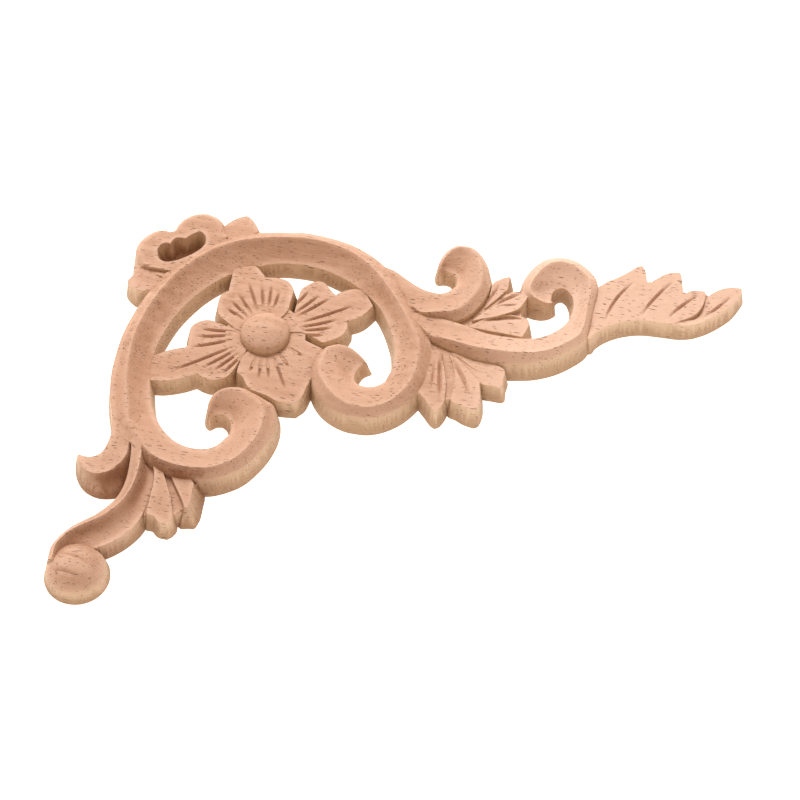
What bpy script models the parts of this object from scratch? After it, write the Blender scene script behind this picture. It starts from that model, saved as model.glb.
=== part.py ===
"""Carved rubberwood corner applique: one flat-backed piece of pierced scroll and leaf carving.

The piece lies on its back with the carved face up.  X runs along the long leafy arm, Y along the
short arm, Z up out of the back.  The origin lies on the back under the middle of the flower.
Every carved form is given in millimetres as a plan outline at the back, with the heights of its
edges and ridge.  The carved face is the highest of the forms over each point of the plan.
"""
import math

import bmesh
import bpy
import numpy as np
from mathutils import Vector
from mathutils.geometry import delaunay_2d_cdt

MM = 0.001
DRAFT = 1.2            # how far a wall leans in from the back to its top edge
OUTLINE_STEP = 0.5     # spacing of points along a curve before it is thinned
OUTLINE_SAG = 0.09     # how far a thinned outline may stray from its curve
FIELD_PITCH = 2.6      # spacing of the points that fill the broad faces
CLEARANCE = 0.85       # a filling point stays this far from every line
WELD = 0.02
HOLLOW_LINE = 0.45     # share of a hollow face's width at which the mesh has a line of its own
FAR_AWAY = 1000.0      # added to a distance that must not count
BLEND_REACH = 0.4      # how far the numbers of a band's rows run into each other
DOME_RINGS = (0.9, 0.72, 0.4)
STEP_WALL = 0.35       # width of the steep side of a one-sided cut

# The long band: left volute, ring and right volute in one sweep, along its outer edge.
# Each row: x, y, width of the outer bevel, height of the wall, of the ridge and of the inner edge.
LEFT_VOLUTE = [
    (-11.3, -33.2, 0.4, 5.5, 6.0, 5.8), (-13.2, -31.4, 0.8, 6.3, 7.0, 6.0),
    (-13.9, -27.4, 1.0, 7.0, 8.4, 6.4), (-12.9, -23.4, 1.2, 7.5, 9.0, 6.8),
    (-10.2, -20.1, 1.5, 7.5, 9.4, 7.2), (-6.2, -18.6, 1.8, 7.5, 9.6, 7.6),
    (-2.3, -18.6, 2.2, 7.5, 10.0, 7.9), (1.4, -19.8, 2.8, 7.2, 10.3, 8.2),
    (5.2, -21.2, 3.4, 7.0, 10.6, 8.4), (8.8, -23.2, 3.8, 7.0, 11.0, 8.7),
    (10.8, -27.5, 4.0, 7.0, 11.2, 8.9), (11.4, -32.5, 3.8, 7.0, 11.3, 9.0),
    (10.6, -38.2, 3.2, 7.2, 11.4, 9.1), (8.2, -44.8, 2.9, 7.6, 11.4, 9.2),
    (3.7, -51.8, 2.7, 8.0, 11.4, 9.3), (-3.2, -56.6, 2.6, 8.0, 11.4, 9.5),
    (-9.2, -58.2, 2.5, 8.0, 11.4, 9.5), (-14.4, -58.5, 2.5, 8.0, 11.4, 9.5),
    (-19.8, -57.7, 2.3, 8.0, 11.4, 9.4), (-24.8, -55.9, 2.1, 8.2, 11.3, 9.2),
    (-29.2, -53.2, 2.2, 8.6, 11.2, 9.0)]
RING = [
    (-33.4, -49.6, 3.2, 10.2, 11.2, 8.7), (-37.6, -46.4, 3.8, 8.8, 11.2, 8.2),
    (-41.0, -42.4, 4.8, 8.6, 11.2, 7.7), (-42.8, -38.0, 5.2, 8.8, 11.2, 7.3),
    (-44.6, -33.0, 5.3, 8.8, 11.1, 7.0), (-46.4, -26.0, 5.2, 9.0, 11.1, 6.8),
    (-47.2, -18.0, 4.8, 9.0, 11.1, 6.6), (-47.2, -8.0, 4.2, 9.0, 11.1, 6.5),
    (-46.0, 0.2, 3.9, 9.0, 11.1, 6.5), (-44.5, 6.3, 3.7, 9.0, 11.1, 6.5),
    (-41.9, 14.4, 3.6, 9.0, 11.1, 6.5), (-38.4, 22.0, 3.6, 9.0, 11.1, 6.5),
    (-33.8, 28.6, 3.6, 9.0, 11.1, 6.5), (-28.7, 34.2, 3.6, 9.0, 11.1, 6.5),
    (-22.5, 38.9, 3.6, 9.0, 11.1, 6.5), (-12.3, 43.2, 3.5, 9.0, 11.1, 6.5),
    (-0.1, 45.8, 3.5, 9.0, 11.1, 6.5), (5.0, 46.2, 3.5, 9.0, 11.1, 6.5), (12.6, 45.7, 3.5, 9.0, 11.1, 6.5),
    (20.3, 44.0, 3.7, 9.0, 11.1, 6.5), (28.0, 40.6, 4.2, 8.8, 11.1, 6.6)]
RIGHT_VOLUTE = [
    (34.5, 36.0, 4.8, 8.6, 11.4, 6.8), (40.0, 30.5, 5.0, 8.4, 11.4, 7.1), (44.3, 24.8, 4.8, 8.2, 11.4, 7.4),
    (47.9, 19.3, 4.4, 8.0, 11.3, 7.8), (50.9, 14.8, 4.2, 8.0, 11.2, 8.2), (53.3, 10.4, 4.0, 8.0, 11.1, 8.5),
    (54.7, 5.4, 4.0, 8.0, 11.0, 8.7), (54.9, 0.0, 4.0, 8.0, 11.0, 8.8), (54.6, -5.4, 3.8, 8.0, 11.0, 8.8),
    (53.2, -10.6, 3.3, 8.0, 11.0, 8.8), (50.0, -16.3, 2.8, 8.0, 11.0, 8.8),
    (46.8, -20.0, 2.5, 8.0, 11.0, 8.8), (42.7, -23.0, 2.4, 8.0, 11.0, 8.8),
    (38.7, -24.6, 2.4, 8.0, 11.0, 8.8), (34.6, -25.0, 2.4, 8.0, 11.0, 8.8),
    (30.2, -24.6, 2.6, 8.0, 11.0, 8.8), (25.5, -22.8, 3.0, 7.8, 11.0, 8.6),
    (21.4, -19.8, 3.2, 7.6, 10.8, 8.4), (18.2, -15.6, 3.0, 7.4, 10.4, 8.1),
    (16.2, -11.0, 2.6, 7.4, 10.0, 7.8), (15.6, -6.5, 2.2, 7.4, 9.6, 7.5), (16.4, -1.8, 1.9, 7.4, 9.4, 7.2),
    (18.8, 2.6, 1.6, 7.4, 9.2, 7.0), (23.2, 4.9, 1.3, 7.2, 8.8, 6.7), (27.6, 4.4, 1.1, 7.0, 8.4, 6.4),
    (31.2, 2.5, 0.9, 6.6, 7.6, 6.2), (33.8, 0.5, 0.6, 6.0, 6.6, 6.0), (35.3, -1.0, 0.4, 5.6, 6.0, 5.8)]
# Inner edge, from the barb of the right volute back along the ring to the barb of the left volute.
BAND_INNER = [
    (34.0, -1.9), (32.8, -3.0), (32.0, -4.7), (31.7, -6.4), (32.1, -8.2), (33.4, -9.6), (35.1, -10.0),
    (37.3, -9.5), (39.5, -7.4), (41.0, -3.6), (41.0, 0.4), (39.9, 6.0), (37.7, 11.2), (34.9, 16.3),
    (31.9, 20.4), (27.0, 24.7), (20.6, 28.8), (12.0, 31.8), (4.5, 32.4), (-3.5, 31.4), (-11.1, 28.0),
    (-16.8, 24.4), (-20.8, 20.7), (-24.8, 15.8), (-28.2, 9.9), (-30.8, 3.9), (-32.6, -3.0), (-33.5, -9.5),
    (-33.3, -16.3), (-32.0, -22.5), (-29.4, -30.7), (-26.9, -35.3), (-23.8, -39.5), (-19.9, -43.0),
    (-16.2, -44.8), (-12.7, -45.3), (-9.2, -44.8), (-6.6, -42.8), (-4.9, -39.4), (-4.5, -36.0),
    (-5.2, -33.0), (-7.2, -31.2), (-9.2, -31.4), (-10.4, -32.4)]

# Hook at the foot of the ring: right side, foot and tip, then back up the left side.
HOOK_OUTER = [
    (-34.0, -34.0, 1.4, 9.0, 11.0, 8.8), (-32.0, -42.0, 1.2, 8.4, 10.7, 8.6),
    (-30.2, -48.4, 1.6, 6.0, 9.8, 8.4), (-29.0, -54.0, 3.0, 4.4, 9.3, 8.2),
    (-29.8, -59.4, 4.4, 3.4, 9.0, 8.0), (-33.4, -63.6, 4.2, 3.2, 8.8, 7.9),
    (-38.9, -65.1, 3.0, 3.2, 8.8, 7.8), (-43.6, -63.9, 1.8, 4.2, 8.8, 7.8),
    (-46.7, -61.3, 1.0, 5.6, 8.6, 7.8), (-48.8, -57.9, 0.6, 6.8, 8.6, 7.8),
    (-49.9, -54.4, 0.5, 7.4, 8.0, 7.8)]
HOOK_INNER = [
    (-48.2, -53.5), (-46.0, -54.0), (-43.9, -53.6), (-42.2, -52.2), (-41.3, -49.6), (-41.0, -46.4),
    (-41.5, -42.4), (-42.6, -38.4), (-43.4, -35.0)]

# Left arm, from the crotch of the ring down to the ball: left rim down, then right edge back up.
STEM_OUTER = [
    (-34.6, -44.0, 2.6, 10.6, 11.1, 8.6), (-33.2, -49.5, 3.2, 10.3, 11.1, 7.6),
    (-32.4, -54.5, 3.4, 9.0, 10.7, 6.9), (-32.0, -60.4, 3.2, 8.2, 10.3, 6.5),
    (-32.4, -65.2, 3.0, 8.0, 10.1, 6.5), (-33.8, -69.4, 2.8, 8.0, 10.0, 6.5),
    (-37.2, -74.3, 2.6, 8.0, 10.0, 6.5), (-41.0, -77.7, 2.4, 7.8, 10.0, 6.5),
    (-44.4, -80.9, 2.2, 7.5, 9.8, 6.5), (-47.1, -84.8, 2.0, 7.2, 9.6, 6.5),
    (-48.7, -89.0, 1.8, 7.0, 9.3, 6.5), (-48.6, -94.0, 1.8, 6.8, 9.0, 6.5)]
STEM_INNER = [
    (-42.0, -94.0), (-36.0, -89.5), (-31.2, -86.3), (-28.2, -83.7), (-25.6, -80.7), (-23.1, -76.6),
    (-21.8, -72.4), (-21.4, -67.0), (-21.5, -61.0), (-22.2, -55.0), (-26.0, -50.0)]

# First scroll of the long arm: barb, over the head, down the right side and back to the ring.
SCROLL_OUTER = [
    (49.2, 38.7, 0.5, 5.8, 6.6, 6.2), (48.0, 39.8, 0.8, 6.4, 7.2, 6.5), (47.4, 42.4, 1.2, 7.0, 8.4, 6.8),
    (48.2, 46.1, 1.6, 7.4, 9.2, 7.4), (49.9, 49.4, 2.0, 7.6, 9.8, 7.9), (52.6, 51.9, 2.4, 7.6, 10.1, 8.3),
    (55.6, 52.6, 2.6, 7.6, 10.3, 8.6), (59.1, 52.1, 2.6, 7.6, 10.4, 8.8), (62.2, 49.8, 2.6, 7.6, 10.5, 8.9),
    (64.7, 46.8, 2.6, 7.6, 10.6, 9.0), (66.6, 43.4, 2.6, 7.6, 10.7, 9.0), (67.8, 39.8, 2.7, 7.4, 10.8, 9.0),
    (68.3, 35.8, 2.8, 8.2, 10.5, 9.0), (67.7, 31.6, 3.0, 8.2, 10.5, 9.0), (66.6, 28.0, 3.1, 8.2, 10.5, 9.0),
    (64.8, 24.4, 3.1, 8.2, 10.5, 9.0), (62.3, 21.2, 3.0, 8.2, 10.5, 9.0), (59.0, 19.0, 2.8, 8.2, 10.5, 9.0),
    (54.7, 18.5, 1.6, 8.2, 10.5, 8.8), (51.0, 18.2, 1.0, 8.4, 10.5, 8.8), (47.0, 18.4, 0.6, 8.4, 9.9, 8.8),
    (43.5, 20.0, 0.4, 8.6, 9.4, 8.8)]
SCROLL_INNER = [
    (29.6, 38.2), (35.5, 36.7), (40.4, 33.9), (45.2, 31.5), (49.9, 30.5), (52.6, 31.2), (54.3, 33.2),
    (54.8, 35.4), (54.4, 37.6), (53.2, 39.0), (51.4, 39.4)]

# Second scroll: root at the ring, along the foot of the long arm, round the head to its barb.
CURL_OUTER = [
    (42.5, 17.0, 0.6, 9.0, 10.0, 8.8), (46.5, 13.5, 0.6, 8.8, 9.6, 8.6), (51.5, 9.8, 0.9, 8.2, 9.4, 8.5),
    (56.5, 8.0, 1.6, 8.2, 10.5, 8.6), (61.5, 6.4, 2.3, 8.0, 10.9, 8.6), (67.0, 5.2, 2.7, 8.0, 11.0, 8.7),
    (74.9, 5.0, 3.0, 8.0, 11.0, 8.8),
    (81.2, 5.8, 2.7, 8.0, 11.0, 8.8), (87.3, 7.4, 2.3, 8.0, 11.0, 8.8), (93.3, 10.5, 2.0, 8.0, 11.0, 8.8),
    (98.0, 14.5, 1.9, 8.0, 11.0, 8.8), (101.6, 18.8, 1.9, 8.0, 11.0, 8.7),
    (103.0, 23.6, 1.9, 7.8, 10.5, 8.0), (103.2, 29.0, 2.0, 7.6, 10.5, 8.0),
    (103.2, 35.0, 2.2, 7.6, 10.0, 7.4), (103.4, 41.0, 2.4, 7.6, 10.0, 7.4),
    (102.2, 46.0, 2.8, 7.6, 10.0, 7.4), (99.7, 49.3, 3.1, 7.6, 10.0, 7.4),
    (96.6, 51.8, 3.3, 7.6, 10.0, 7.4), (93.4, 53.4, 3.4, 7.6, 10.0, 7.4), (89.7, 54.1, 3.4, 7.6, 10.0, 7.4),
    (85.8, 53.6, 3.4, 7.6, 10.0, 7.4), (82.3, 51.8, 3.4, 7.6, 10.0, 7.4), (79.4, 48.6, 3.4, 7.6, 10.0, 7.4),
    (77.4, 44.7, 3.4, 7.6, 10.0, 7.4), (76.2, 40.8, 3.2, 7.6, 10.0, 7.4), (76.0, 37.0, 3.0, 7.4, 9.6, 7.0),
    (77.6, 33.6, 2.4, 7.2, 9.6, 7.0), (80.6, 31.7, 1.4, 7.2, 9.6, 7.0), (84.6, 31.3, 0.8, 7.0, 8.6, 6.8),
    (87.6, 32.4, 0.5, 6.4, 7.2, 6.4), (89.5, 34.3, 0.3, 5.8, 6.2, 6.0)]
CURL_INNER = [
    (88.7, 36.4), (88.5, 38.0), (89.2, 39.4), (90.5, 40.0), (92.1, 39.0), (93.5, 36.4), (94.1, 32.9),
    (93.8, 29.4), (92.5, 25.7), (90.2, 22.4), (87.4, 20.1), (83.8, 18.5), (79.2, 17.7), (70.1, 17.6),
    (61.9, 19.6), (54.0, 20.8), (47.5, 22.0)]

# Leaves: runs of smooth outline that meet in corners, the spine with its two heights, the cross
# tilt, and the cuts.  A cut is a line with its half width, depth and side (0 for a V, else a step).
LEAVES = {
    "tail": dict(
        runs=[[(97.0, 38.0), (100.5, 43.0)], [(104.2, 47.3), (107.2, 49.6), (110.2, 52.5), (112.7, 55.3)],
              [(115.2, 56.2), (116.9, 53.9)], [(118.0, 50.2), (119.3, 51.3), (121.8, 53.8), (124.6, 55.5)],
              [(128.1, 56.0), (129.2, 53.2)], [(130.3, 48.3), (131.7, 49.3), (134.4, 49.9)],
              [(137.2, 50.0)], [(137.6, 48.9), (138.6, 49.9), (141.5, 52.2), (144.8, 53.5)],
              [(149.0, 53.8), (149.2, 51.4), (148.0, 47.9), (146.0, 43.8), (142.9, 40.1), (139.9, 37.2),
               (136.8, 35.0), (133.8, 33.5), (129.8, 32.6), (124.7, 32.4), (119.6, 32.1), (116.1, 31.4),
               (112.6, 30.1), (109.5, 28.4), (106.5, 26.0), (104.5, 23.6), (102.9, 21.0)], [(98.0, 22.0)]],
        spine=((102.0, 32.0), (149.0, 50.0)), heights=(7.6, 6.6), tilt=0.0, draft=1.0,
        cuts=[([(106.4, 30.5), (107.0, 34.8), (108.5, 39.8), (110.6, 44.0), (112.9, 47.6)], 0.7, 1.0, 0),
              ([(117.6, 35.0), (119.7, 40.5), (122.3, 45.5), (125.2, 50.2)], 0.7, 1.0, 0),
              ([(126.4, 36.0), (129.9, 41.5), (134.5, 46.8)], 0.7, 1.0, 0),
              ([(137.0, 38.5), (140.5, 42.0), (143.5, 46.0), (145.6, 49.0)], 0.7, 0.9, 0),
              ([(129.6, 34.4), (134.5, 38.2), (136.7, 42.5), (137.5, 48.9)], 3.4, 1.4, 1)]),
    "upper_leaf_a": dict(
        runs=[[(60.0, 20.0), (64.5, 25.0), (66.2, 31.0), (66.6, 38.3)], [(69.5, 41.4), (72.4, 42.8)],
              [(74.1, 42.4), (73.9, 39.0), (73.6, 35.5)], [(68.0, 27.0)]],
        spine=((62.0, 21.0), (73.0, 42.0)), heights=(6.8, 7.6), tilt=0.0, draft=1.2,
        cuts=[([(64.3, 24.5), (66.9, 29.5), (68.9, 34.5), (70.0, 38.0)], 0.7, 0.7, 0)]),
    "upper_leaf_b": dict(
        runs=[[(60.0, 19.0), (67.0, 27.5), (73.2, 36.0)], [(76.5, 37.2), (80.8, 37.5)],
              [(81.3, 34.6), (80.2, 31.0), (78.2, 27.4)], [(72.0, 23.6)]],
        spine=((62.0, 20.5), (80.0, 35.0)), heights=(7.2, 8.2), tilt=-0.10, draft=1.2,
        cuts=[([(64.8, 25.0), (69.8, 29.5), (74.8, 33.5), (77.2, 34.9)], 0.8, 0.9, 0),
              ([(71.4, 29.2), (77.8, 30.5)], 0.5, 0.5, 0)]),
    "upper_leaf_c": dict(
        runs=[[(60.0, 18.0), (66.0, 23.4), (69.6, 26.0), (73.6, 27.4), (79.4, 27.4)],
              [(82.4, 26.4), (83.4, 24.2), (83.0, 21.2)], [(82.0, 17.0)]],
        spine=((62.0, 20.0), (82.0, 24.0)), heights=(7.2, 7.6), tilt=0.0, draft=1.2,
        cuts=[([(67.8, 22.5), (71.8, 24.7), (75.8, 25.7), (79.3, 25.3)], 1.8, 1.6, 1)]),
    "lower_leaf_a": dict(
        runs=[[(49.0, 9.0), (50.4, 0.0), (50.2, -10.0)], [(52.4, -11.8)], [(54.9, -14.4), (57.2, -16.9)],
              [(58.9, -18.0), (60.4, -17.0), (61.6, -14.4)], [(62.2, -11.6), (61.4, -5.0), (59.4, 1.7)],
              [(57.5, 8.0)]],
        spine=((55.5, 7.0), (59.0, -17.0)), heights=(8.2, 8.0), tilt=0.0, draft=1.2,
        cuts=[([(56.5, 6.4), (57.0, 1.4), (57.9, -3.6), (58.9, -8.6), (59.9, -13.0)], 0.9, 1.0, 0),
              ([(55.0, 3.0), (55.6, -3.0), (56.0, -9.0)], 0.7, 0.6, 0)]),
    "lower_leaf_b": dict(
        runs=[[(57.0, 8.0), (60.4, 1.0), (61.6, -6.0), (62.0, -12.0)], [(65.0, -13.4), (68.0, -14.7)],
              [(71.2, -15.3), (72.7, -14.1), (73.3, -10.3), (72.6, -5.8)], [(71.6, -2.0)], [(62.0, 7.0)]],
        spine=((59.0, 6.5), (71.5, -13.0)), heights=(7.6, 8.6), tilt=0.05, draft=1.2,
        cuts=[([(60.6, 4.6), (64.8, -1.6), (68.2, -8.0)], 0.9, 1.0, 0),
              ([(59.0, 5.0), (61.6, -0.5), (62.9, -6.0)], 0.7, 0.6, 0)]),
    "lower_leaf_c": dict(
        runs=[[(56.0, 8.6), (62.0, 3.6), (66.6, -0.4), (71.0, -3.5)], [(75.1, -3.8), (78.1, -3.8)],
              [(79.2, -2.9), (78.9, 0.3), (77.8, 5.8)], [(66.0, 9.0)]],
        spine=((58.0, 8.0), (78.0, -2.0)), heights=(7.6, 7.0), tilt=0.0, draft=1.2,
        cuts=[([(58.0, 7.7), (61.7, 5.8), (65.7, 3.3), (69.3, 1.5), (74.0, 0.7)], 0.7, 0.8, 0)]),
    "arm_leaf_a": dict(
        runs=[[(-28.0, -49.0), (-23.8, -58.0), (-23.0, -66.0), (-22.4, -72.9)],
              [(-19.6, -73.7), (-17.5, -75.4)],
              [(-14.6, -75.7), (-13.0, -74.1), (-12.3, -71.1)], [(-14.6, -64.0), (-18.6, -56.6)],
              [(-22.0, -51.0)]],
        spine=((-25.0, -52.0), (-17.5, -74.0)), heights=(8.6, 7.8), tilt=-0.12, draft=1.2,
        cuts=[]),
    "arm_leaf_b": dict(
        runs=[[(-24.0, -52.0), (-19.5, -59.5), (-15.0, -66.0), (-12.0, -70.6)],
              [(-8.9, -70.4), (-7.0, -69.8)],
              [(-6.1, -66.5), (-6.3, -62.5), (-7.1, -56.9)], [(-12.0, -52.0)]],
        spine=((-20.0, -55.0), (-10.5, -69.0)), heights=(7.4, 7.6), tilt=0.08, draft=3.2,
        cuts=[([(-19.8, -57.6), (-16.8, -62.0), (-14.8, -66.0), (-12.8, -70.0)], 1.2, 1.1, 0)]),
    "left_bud": dict(
        runs=[[(-51.4, 14.8), (-50.2, 12.8), (-48.3, 11.2), (-46.3, 10.2), (-44.0, 10.0)], [(-39.5, 11.0)],
              [(-37.0, 18.0)], [(-44.0, 19.2), (-48.6, 18.6)]],
        spine=((-40.0, 15.0), (-50.5, 15.0)), heights=(9.4, 8.2), tilt=0.0, draft=1.0, cuts=[]),
    "right_bud": dict(
        runs=[[(-25.8, 41.0), (-24.4, 44.6), (-21.7, 47.9), (-18.6, 49.9)], [(-16.8, 49.8), (-13.8, 46.8)],
              [(-11.0, 42.6)], [(-14.0, 38.5)], [(-22.0, 36.0)]],
        spine=((-20.0, 38.0), (-18.0, 49.0)), heights=(9.6, 8.0), tilt=-0.08, draft=1.0, cuts=[]),
    "upper_web": dict(
        runs=[[(56.0, 17.0)], [(66.8, 37.8)], [(72.6, 36.6)], [(80.4, 31.4), (80.0, 27.4)], [(82.4, 20.0)],
              [(80.0, 16.0)]],
        spine=((60.0, 20.0), (80.0, 28.0)), heights=(6.4, 6.6), tilt=0.0, draft=1.0, cuts=[]),
    "lower_web": dict(
        runs=[[(50.0, 12.0)], [(51.0, -8.0)], [(57.0, -13.0)], [(62.2, -11.6)], [(67.0, -10.0)],
              [(71.6, -3.6)], [(76.0, 5.8)]],
        spine=((56.0, 6.0), (70.0, -8.0)), heights=(7.0, 7.3), tilt=0.0, draft=1.0, cuts=[]),
    "arm_web": dict(
        runs=[[(-30.0, -47.0)], [(-23.2, -73.2)], [(-16.6, -72.4)], [(-12.3, -70.3)], [(-8.6, -67.4)],
              [(-8.0, -55.0)]],
        spine=((-24.0, -52.0), (-14.0, -70.0)), heights=(6.8, 6.2), tilt=0.0, draft=1.0, cuts=[]),
    "crest_web": dict(
        runs=[[(-49.6, 17.0), (-50.0, 22.0)], [(-38.0, 24.0)], [(-36.0, 17.0)]],
        spine=((-40.0, 19.0), (-50.0, 19.0)), heights=(8.5, 7.8), tilt=0.0, draft=1.0, cuts=[]),
}

# Crest at the upper left: two lobes with a rim, and a deep blind pocket between them.
CREST_OUTER = [
    (-48.8, 20.6, 1.2, 7.6, 9.4, 9.4), (-51.0, 24.0, 1.6, 7.8, 9.8, 9.8),
    (-52.0, 28.2, 2.0, 8.0, 10.0, 10.0),
    (-50.9, 32.8, 2.2, 8.0, 10.2, 10.0), (-47.7, 37.0, 2.2, 8.0, 10.2, 10.0),
    (-43.8, 38.8, 1.8, 8.0, 10.2, 10.0),
    (-41.3, 38.5, 1.2, 8.0, 10.0, 10.0), (-40.8, 40.6, 1.4, 8.0, 10.0, 10.0),
    (-39.2, 44.0, 2.0, 8.0, 10.2, 10.0),
    (-36.0, 47.0, 2.2, 8.0, 10.2, 10.0), (-31.1, 48.3, 2.2, 8.0, 10.2, 10.0),
    (-26.6, 47.0, 2.0, 8.0, 10.2, 10.0),
    (-23.6, 44.4, 1.6, 8.0, 10.0, 10.0), (-21.8, 40.8, 1.4, 8.4, 10.0, 10.0)]
CREST_INNER = [(-21.8, 33.8), (-25.7, 30.9), (-30.2, 25.9), (-34.5, 19.8), (-42.0, 19.4), (-47.6, 19.7)]
POCKET = [
    [(-43.4, 27.8), (-42.8, 29.9), (-41.2, 31.1)], [(-39.7, 31.0), (-39.2, 32.8), (-37.9, 34.0)],
    [(-35.3, 34.2), (-33.5, 36.4), (-31.3, 37.9), (-29.4, 36.8), (-28.4, 34.4), (-28.9, 31.8),
     (-30.6, 29.3), (-33.0, 26.9), (-36.0, 24.8), (-39.4, 23.6), (-42.2, 24.7)]]
POCKET_FLOOR = 3.2
POCKET_LEAN = 1.4

# Flower: a domed boss and four petals.  Grooves run out from the boss: angle in degrees, two radii.
# The finished piece is moved so that the middle of the flower is the origin.
FLOWER = (-1.0, 2.5)
BOSS = dict(centre=FLOWER, radius=8.6, edge=7.8, top=11.8, draft=0.5)
FLOWER_WEB = dict(centre=FLOWER, radius=14.0, edge=6.9, top=7.1, draft=1.0)
BALL = dict(centre=(-38.5, -94.0), radius=10.3, edge=1.2, top=10.2, draft=0.4)
PETALS = {
    "top_petal": dict(
        runs=[[(0.0, 4.0), (4.9, 12.0), (5.4, 17.0), (5.3, 22.4), (3.3, 25.8), (0.5, 27.3), (-3.0, 27.6)],
              [(-5.6, 27.2), (-10.8, 31.1)], [(-18.8, 28.0)], [(-18.3, 18.6), (-20.0, 16.6), (-20.5, 13.4),
              (-20.0, 9.8), (-18.6, 6.6), (-15.6, 4.4), (-9.0, 1.0)]],
        rise=(7.6, 6.9), grooves=[(88, 11, 18), (97, 11, 20), (106, 11, 20), (117, 10, 22), (130, 9, 19),
                                  (141, 9, 18), (151, 9, 17)]),
    "right_petal": dict(
        runs=[[(1.0, 2.0), (4.6, 12.0), (4.8, 22.6), (6.7, 26.3), (9.3, 28.6), (12.0, 29.3), (14.4, 28.5)],
              [(17.6, 25.4), (21.5, 28.0)], [(27.0, 29.0)], [(32.4, 21.8), (30.4, 18.0), (28.2, 15.2)],
              [(25.4, 13.4), (25.7, 10.6), (24.4, 7.0), (21.6, 4.4), (18.0, 2.2)],
              [(15.4, 3.0), (10.0, 4.6)]],
        rise=(7.4, 6.6), grooves=[(64, 14, 23), (55, 13, 24), (48, 13, 26), (35, 13, 31), (27, 12, 24),
                                  (20, 12, 22), (12, 12, 19)]),
    "bottom_petal": dict(
        runs=[[(-7.6, -6.0), (-8.0, -13.4)], [(-5.4, -16.0), (-2.0, -20.0), (4.0, -21.6), (8.6, -23.2)],
              [(14.6, -22.8), (17.0, -19.4), (18.0, -14.0), (19.4, -8.0)], [(20.4, -3.0), (19.8, 1.6)],
              [(14.6, 3.8), (10.0, 5.0), (2.0, 4.0)]],
        rise=(7.4, 6.6), grooves=[(264, 10, 15), (276, 10, 17), (287, 10, 17), (300, 10, 22), (314, 9, 15),
                                  (338, 9, 15)]),
    "left_petal": dict(
        runs=[[(-1.0, 4.0), (-12.0, 4.6), (-18.6, 6.4), (-22.6, 6.0), (-25.8, 3.6), (-27.0, 0.4),
              (-26.4, -3.6)],
              [(-26.4, -5.6), (-30.6, -7.6)], [(-38.5, -13.0)],
              [(-37.0, -23.0), (-31.2, -22.9), (-27.2, -22.0), (-22.6, -20.0)],
              [(-19.2, -17.9), (-16.8, -18.8), (-14.0, -19.2), (-11.0, -18.4), (-8.0, -16.2)],
              [(-6.4, -12.6), (-4.0, -4.0)]],
        rise=(7.4, 6.5), grooves=[(184, 9, 21), (192, 11, 22), (202, 11, 24), (216, 11, 32), (224, 11, 23),
                                  (232, 11, 21), (240, 11, 20)]),
}
PETAL_DRAFT = 1.4
PETAL_START = 9.0      # a petal falls from this distance to the boss
PETAL_REACH = 20.0     # and over this length
GROOVE = dict(half=0.65, depth=0.9)

# Rubberwood, pale and pinkish, bare of any finish.
WOOD_COLOUR = (0.72, 0.46, 0.33, 1.0)
WOOD_ROUGHNESS = 0.72


def smooth(rows, step):
    """Points every few tenths of a millimetre on a smooth curve through the rows."""
    rows = np.asarray(rows, float)
    if len(rows) < 3:
        count = max(2, int(np.hypot(*(rows[-1, :2] - rows[0, :2])) / step) + 1)
        return rows[0] + (rows[-1] - rows[0]) * np.linspace(0, 1, count)[:, None]
    padded = np.vstack([2 * rows[0] - rows[1], rows, 2 * rows[-1] - rows[-2]])
    out = []
    for a, b, c, d in zip(padded[:-3], padded[1:-2], padded[2:-1], padded[3:]):
        count = max(1, int(np.hypot(*(c[:2] - b[:2])) / step))
        t = (np.arange(count) / count)[:, None]
        tangent_b = (c - a) / 2
        tangent_c = (d - b) / 2
        out.append((2 * t**3 - 3 * t**2 + 1) * b + (t**3 - 2 * t**2 + t) * tangent_b
                   + (3 * t**2 - 2 * t**3) * c + (t**3 - t**2) * tangent_c)
    out.append(rows[-1:])
    return np.vstack(out)


def closed_runs(runs, step):
    """A closed outline from smooth runs that meet in corners."""
    parts = []
    for here, after in zip(runs, runs[1:] + runs[:1]):
        parts.append(smooth(list(here) + [after[0]], step)[:-1])
    return np.vstack(parts)


def thin(points, sag):
    """Leave out points that lie within the given sag of the line between those kept."""
    keep = [0, len(points) - 1]
    stack = [(0, len(points) - 1)]
    while stack:
        a, b = stack.pop()
        if b - a < 2:
            continue
        start, run = points[a, :2], points[b, :2] - points[a, :2]
        length = max(np.hypot(*run), 1e-9)
        rel = points[a + 1:b, :2] - start
        if length < 1e-6:
            far = np.hypot(rel[:, 0], rel[:, 1])
        else:
            far = np.abs(rel[:, 0] * run[1] - rel[:, 1] * run[0]) / length
        worst = int(np.argmax(far))
        if far[worst] > sag:
            keep.append(a + 1 + worst)
            stack += [(a, a + 1 + worst), (a + 1 + worst, b)]
    return points[sorted(set(keep))]


def thin_loop(loop, sag):
    """The same for a closed outline, split at the point farthest from its first."""
    far = int(np.argmax(np.hypot(*(loop[:, :2] - loop[0, :2]).T)))
    first = thin(loop[:far + 1], sag)
    second = thin(np.vstack([loop[far:], loop[:1]]), sag)
    return np.vstack([first[:-1], second[:-1]])


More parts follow.
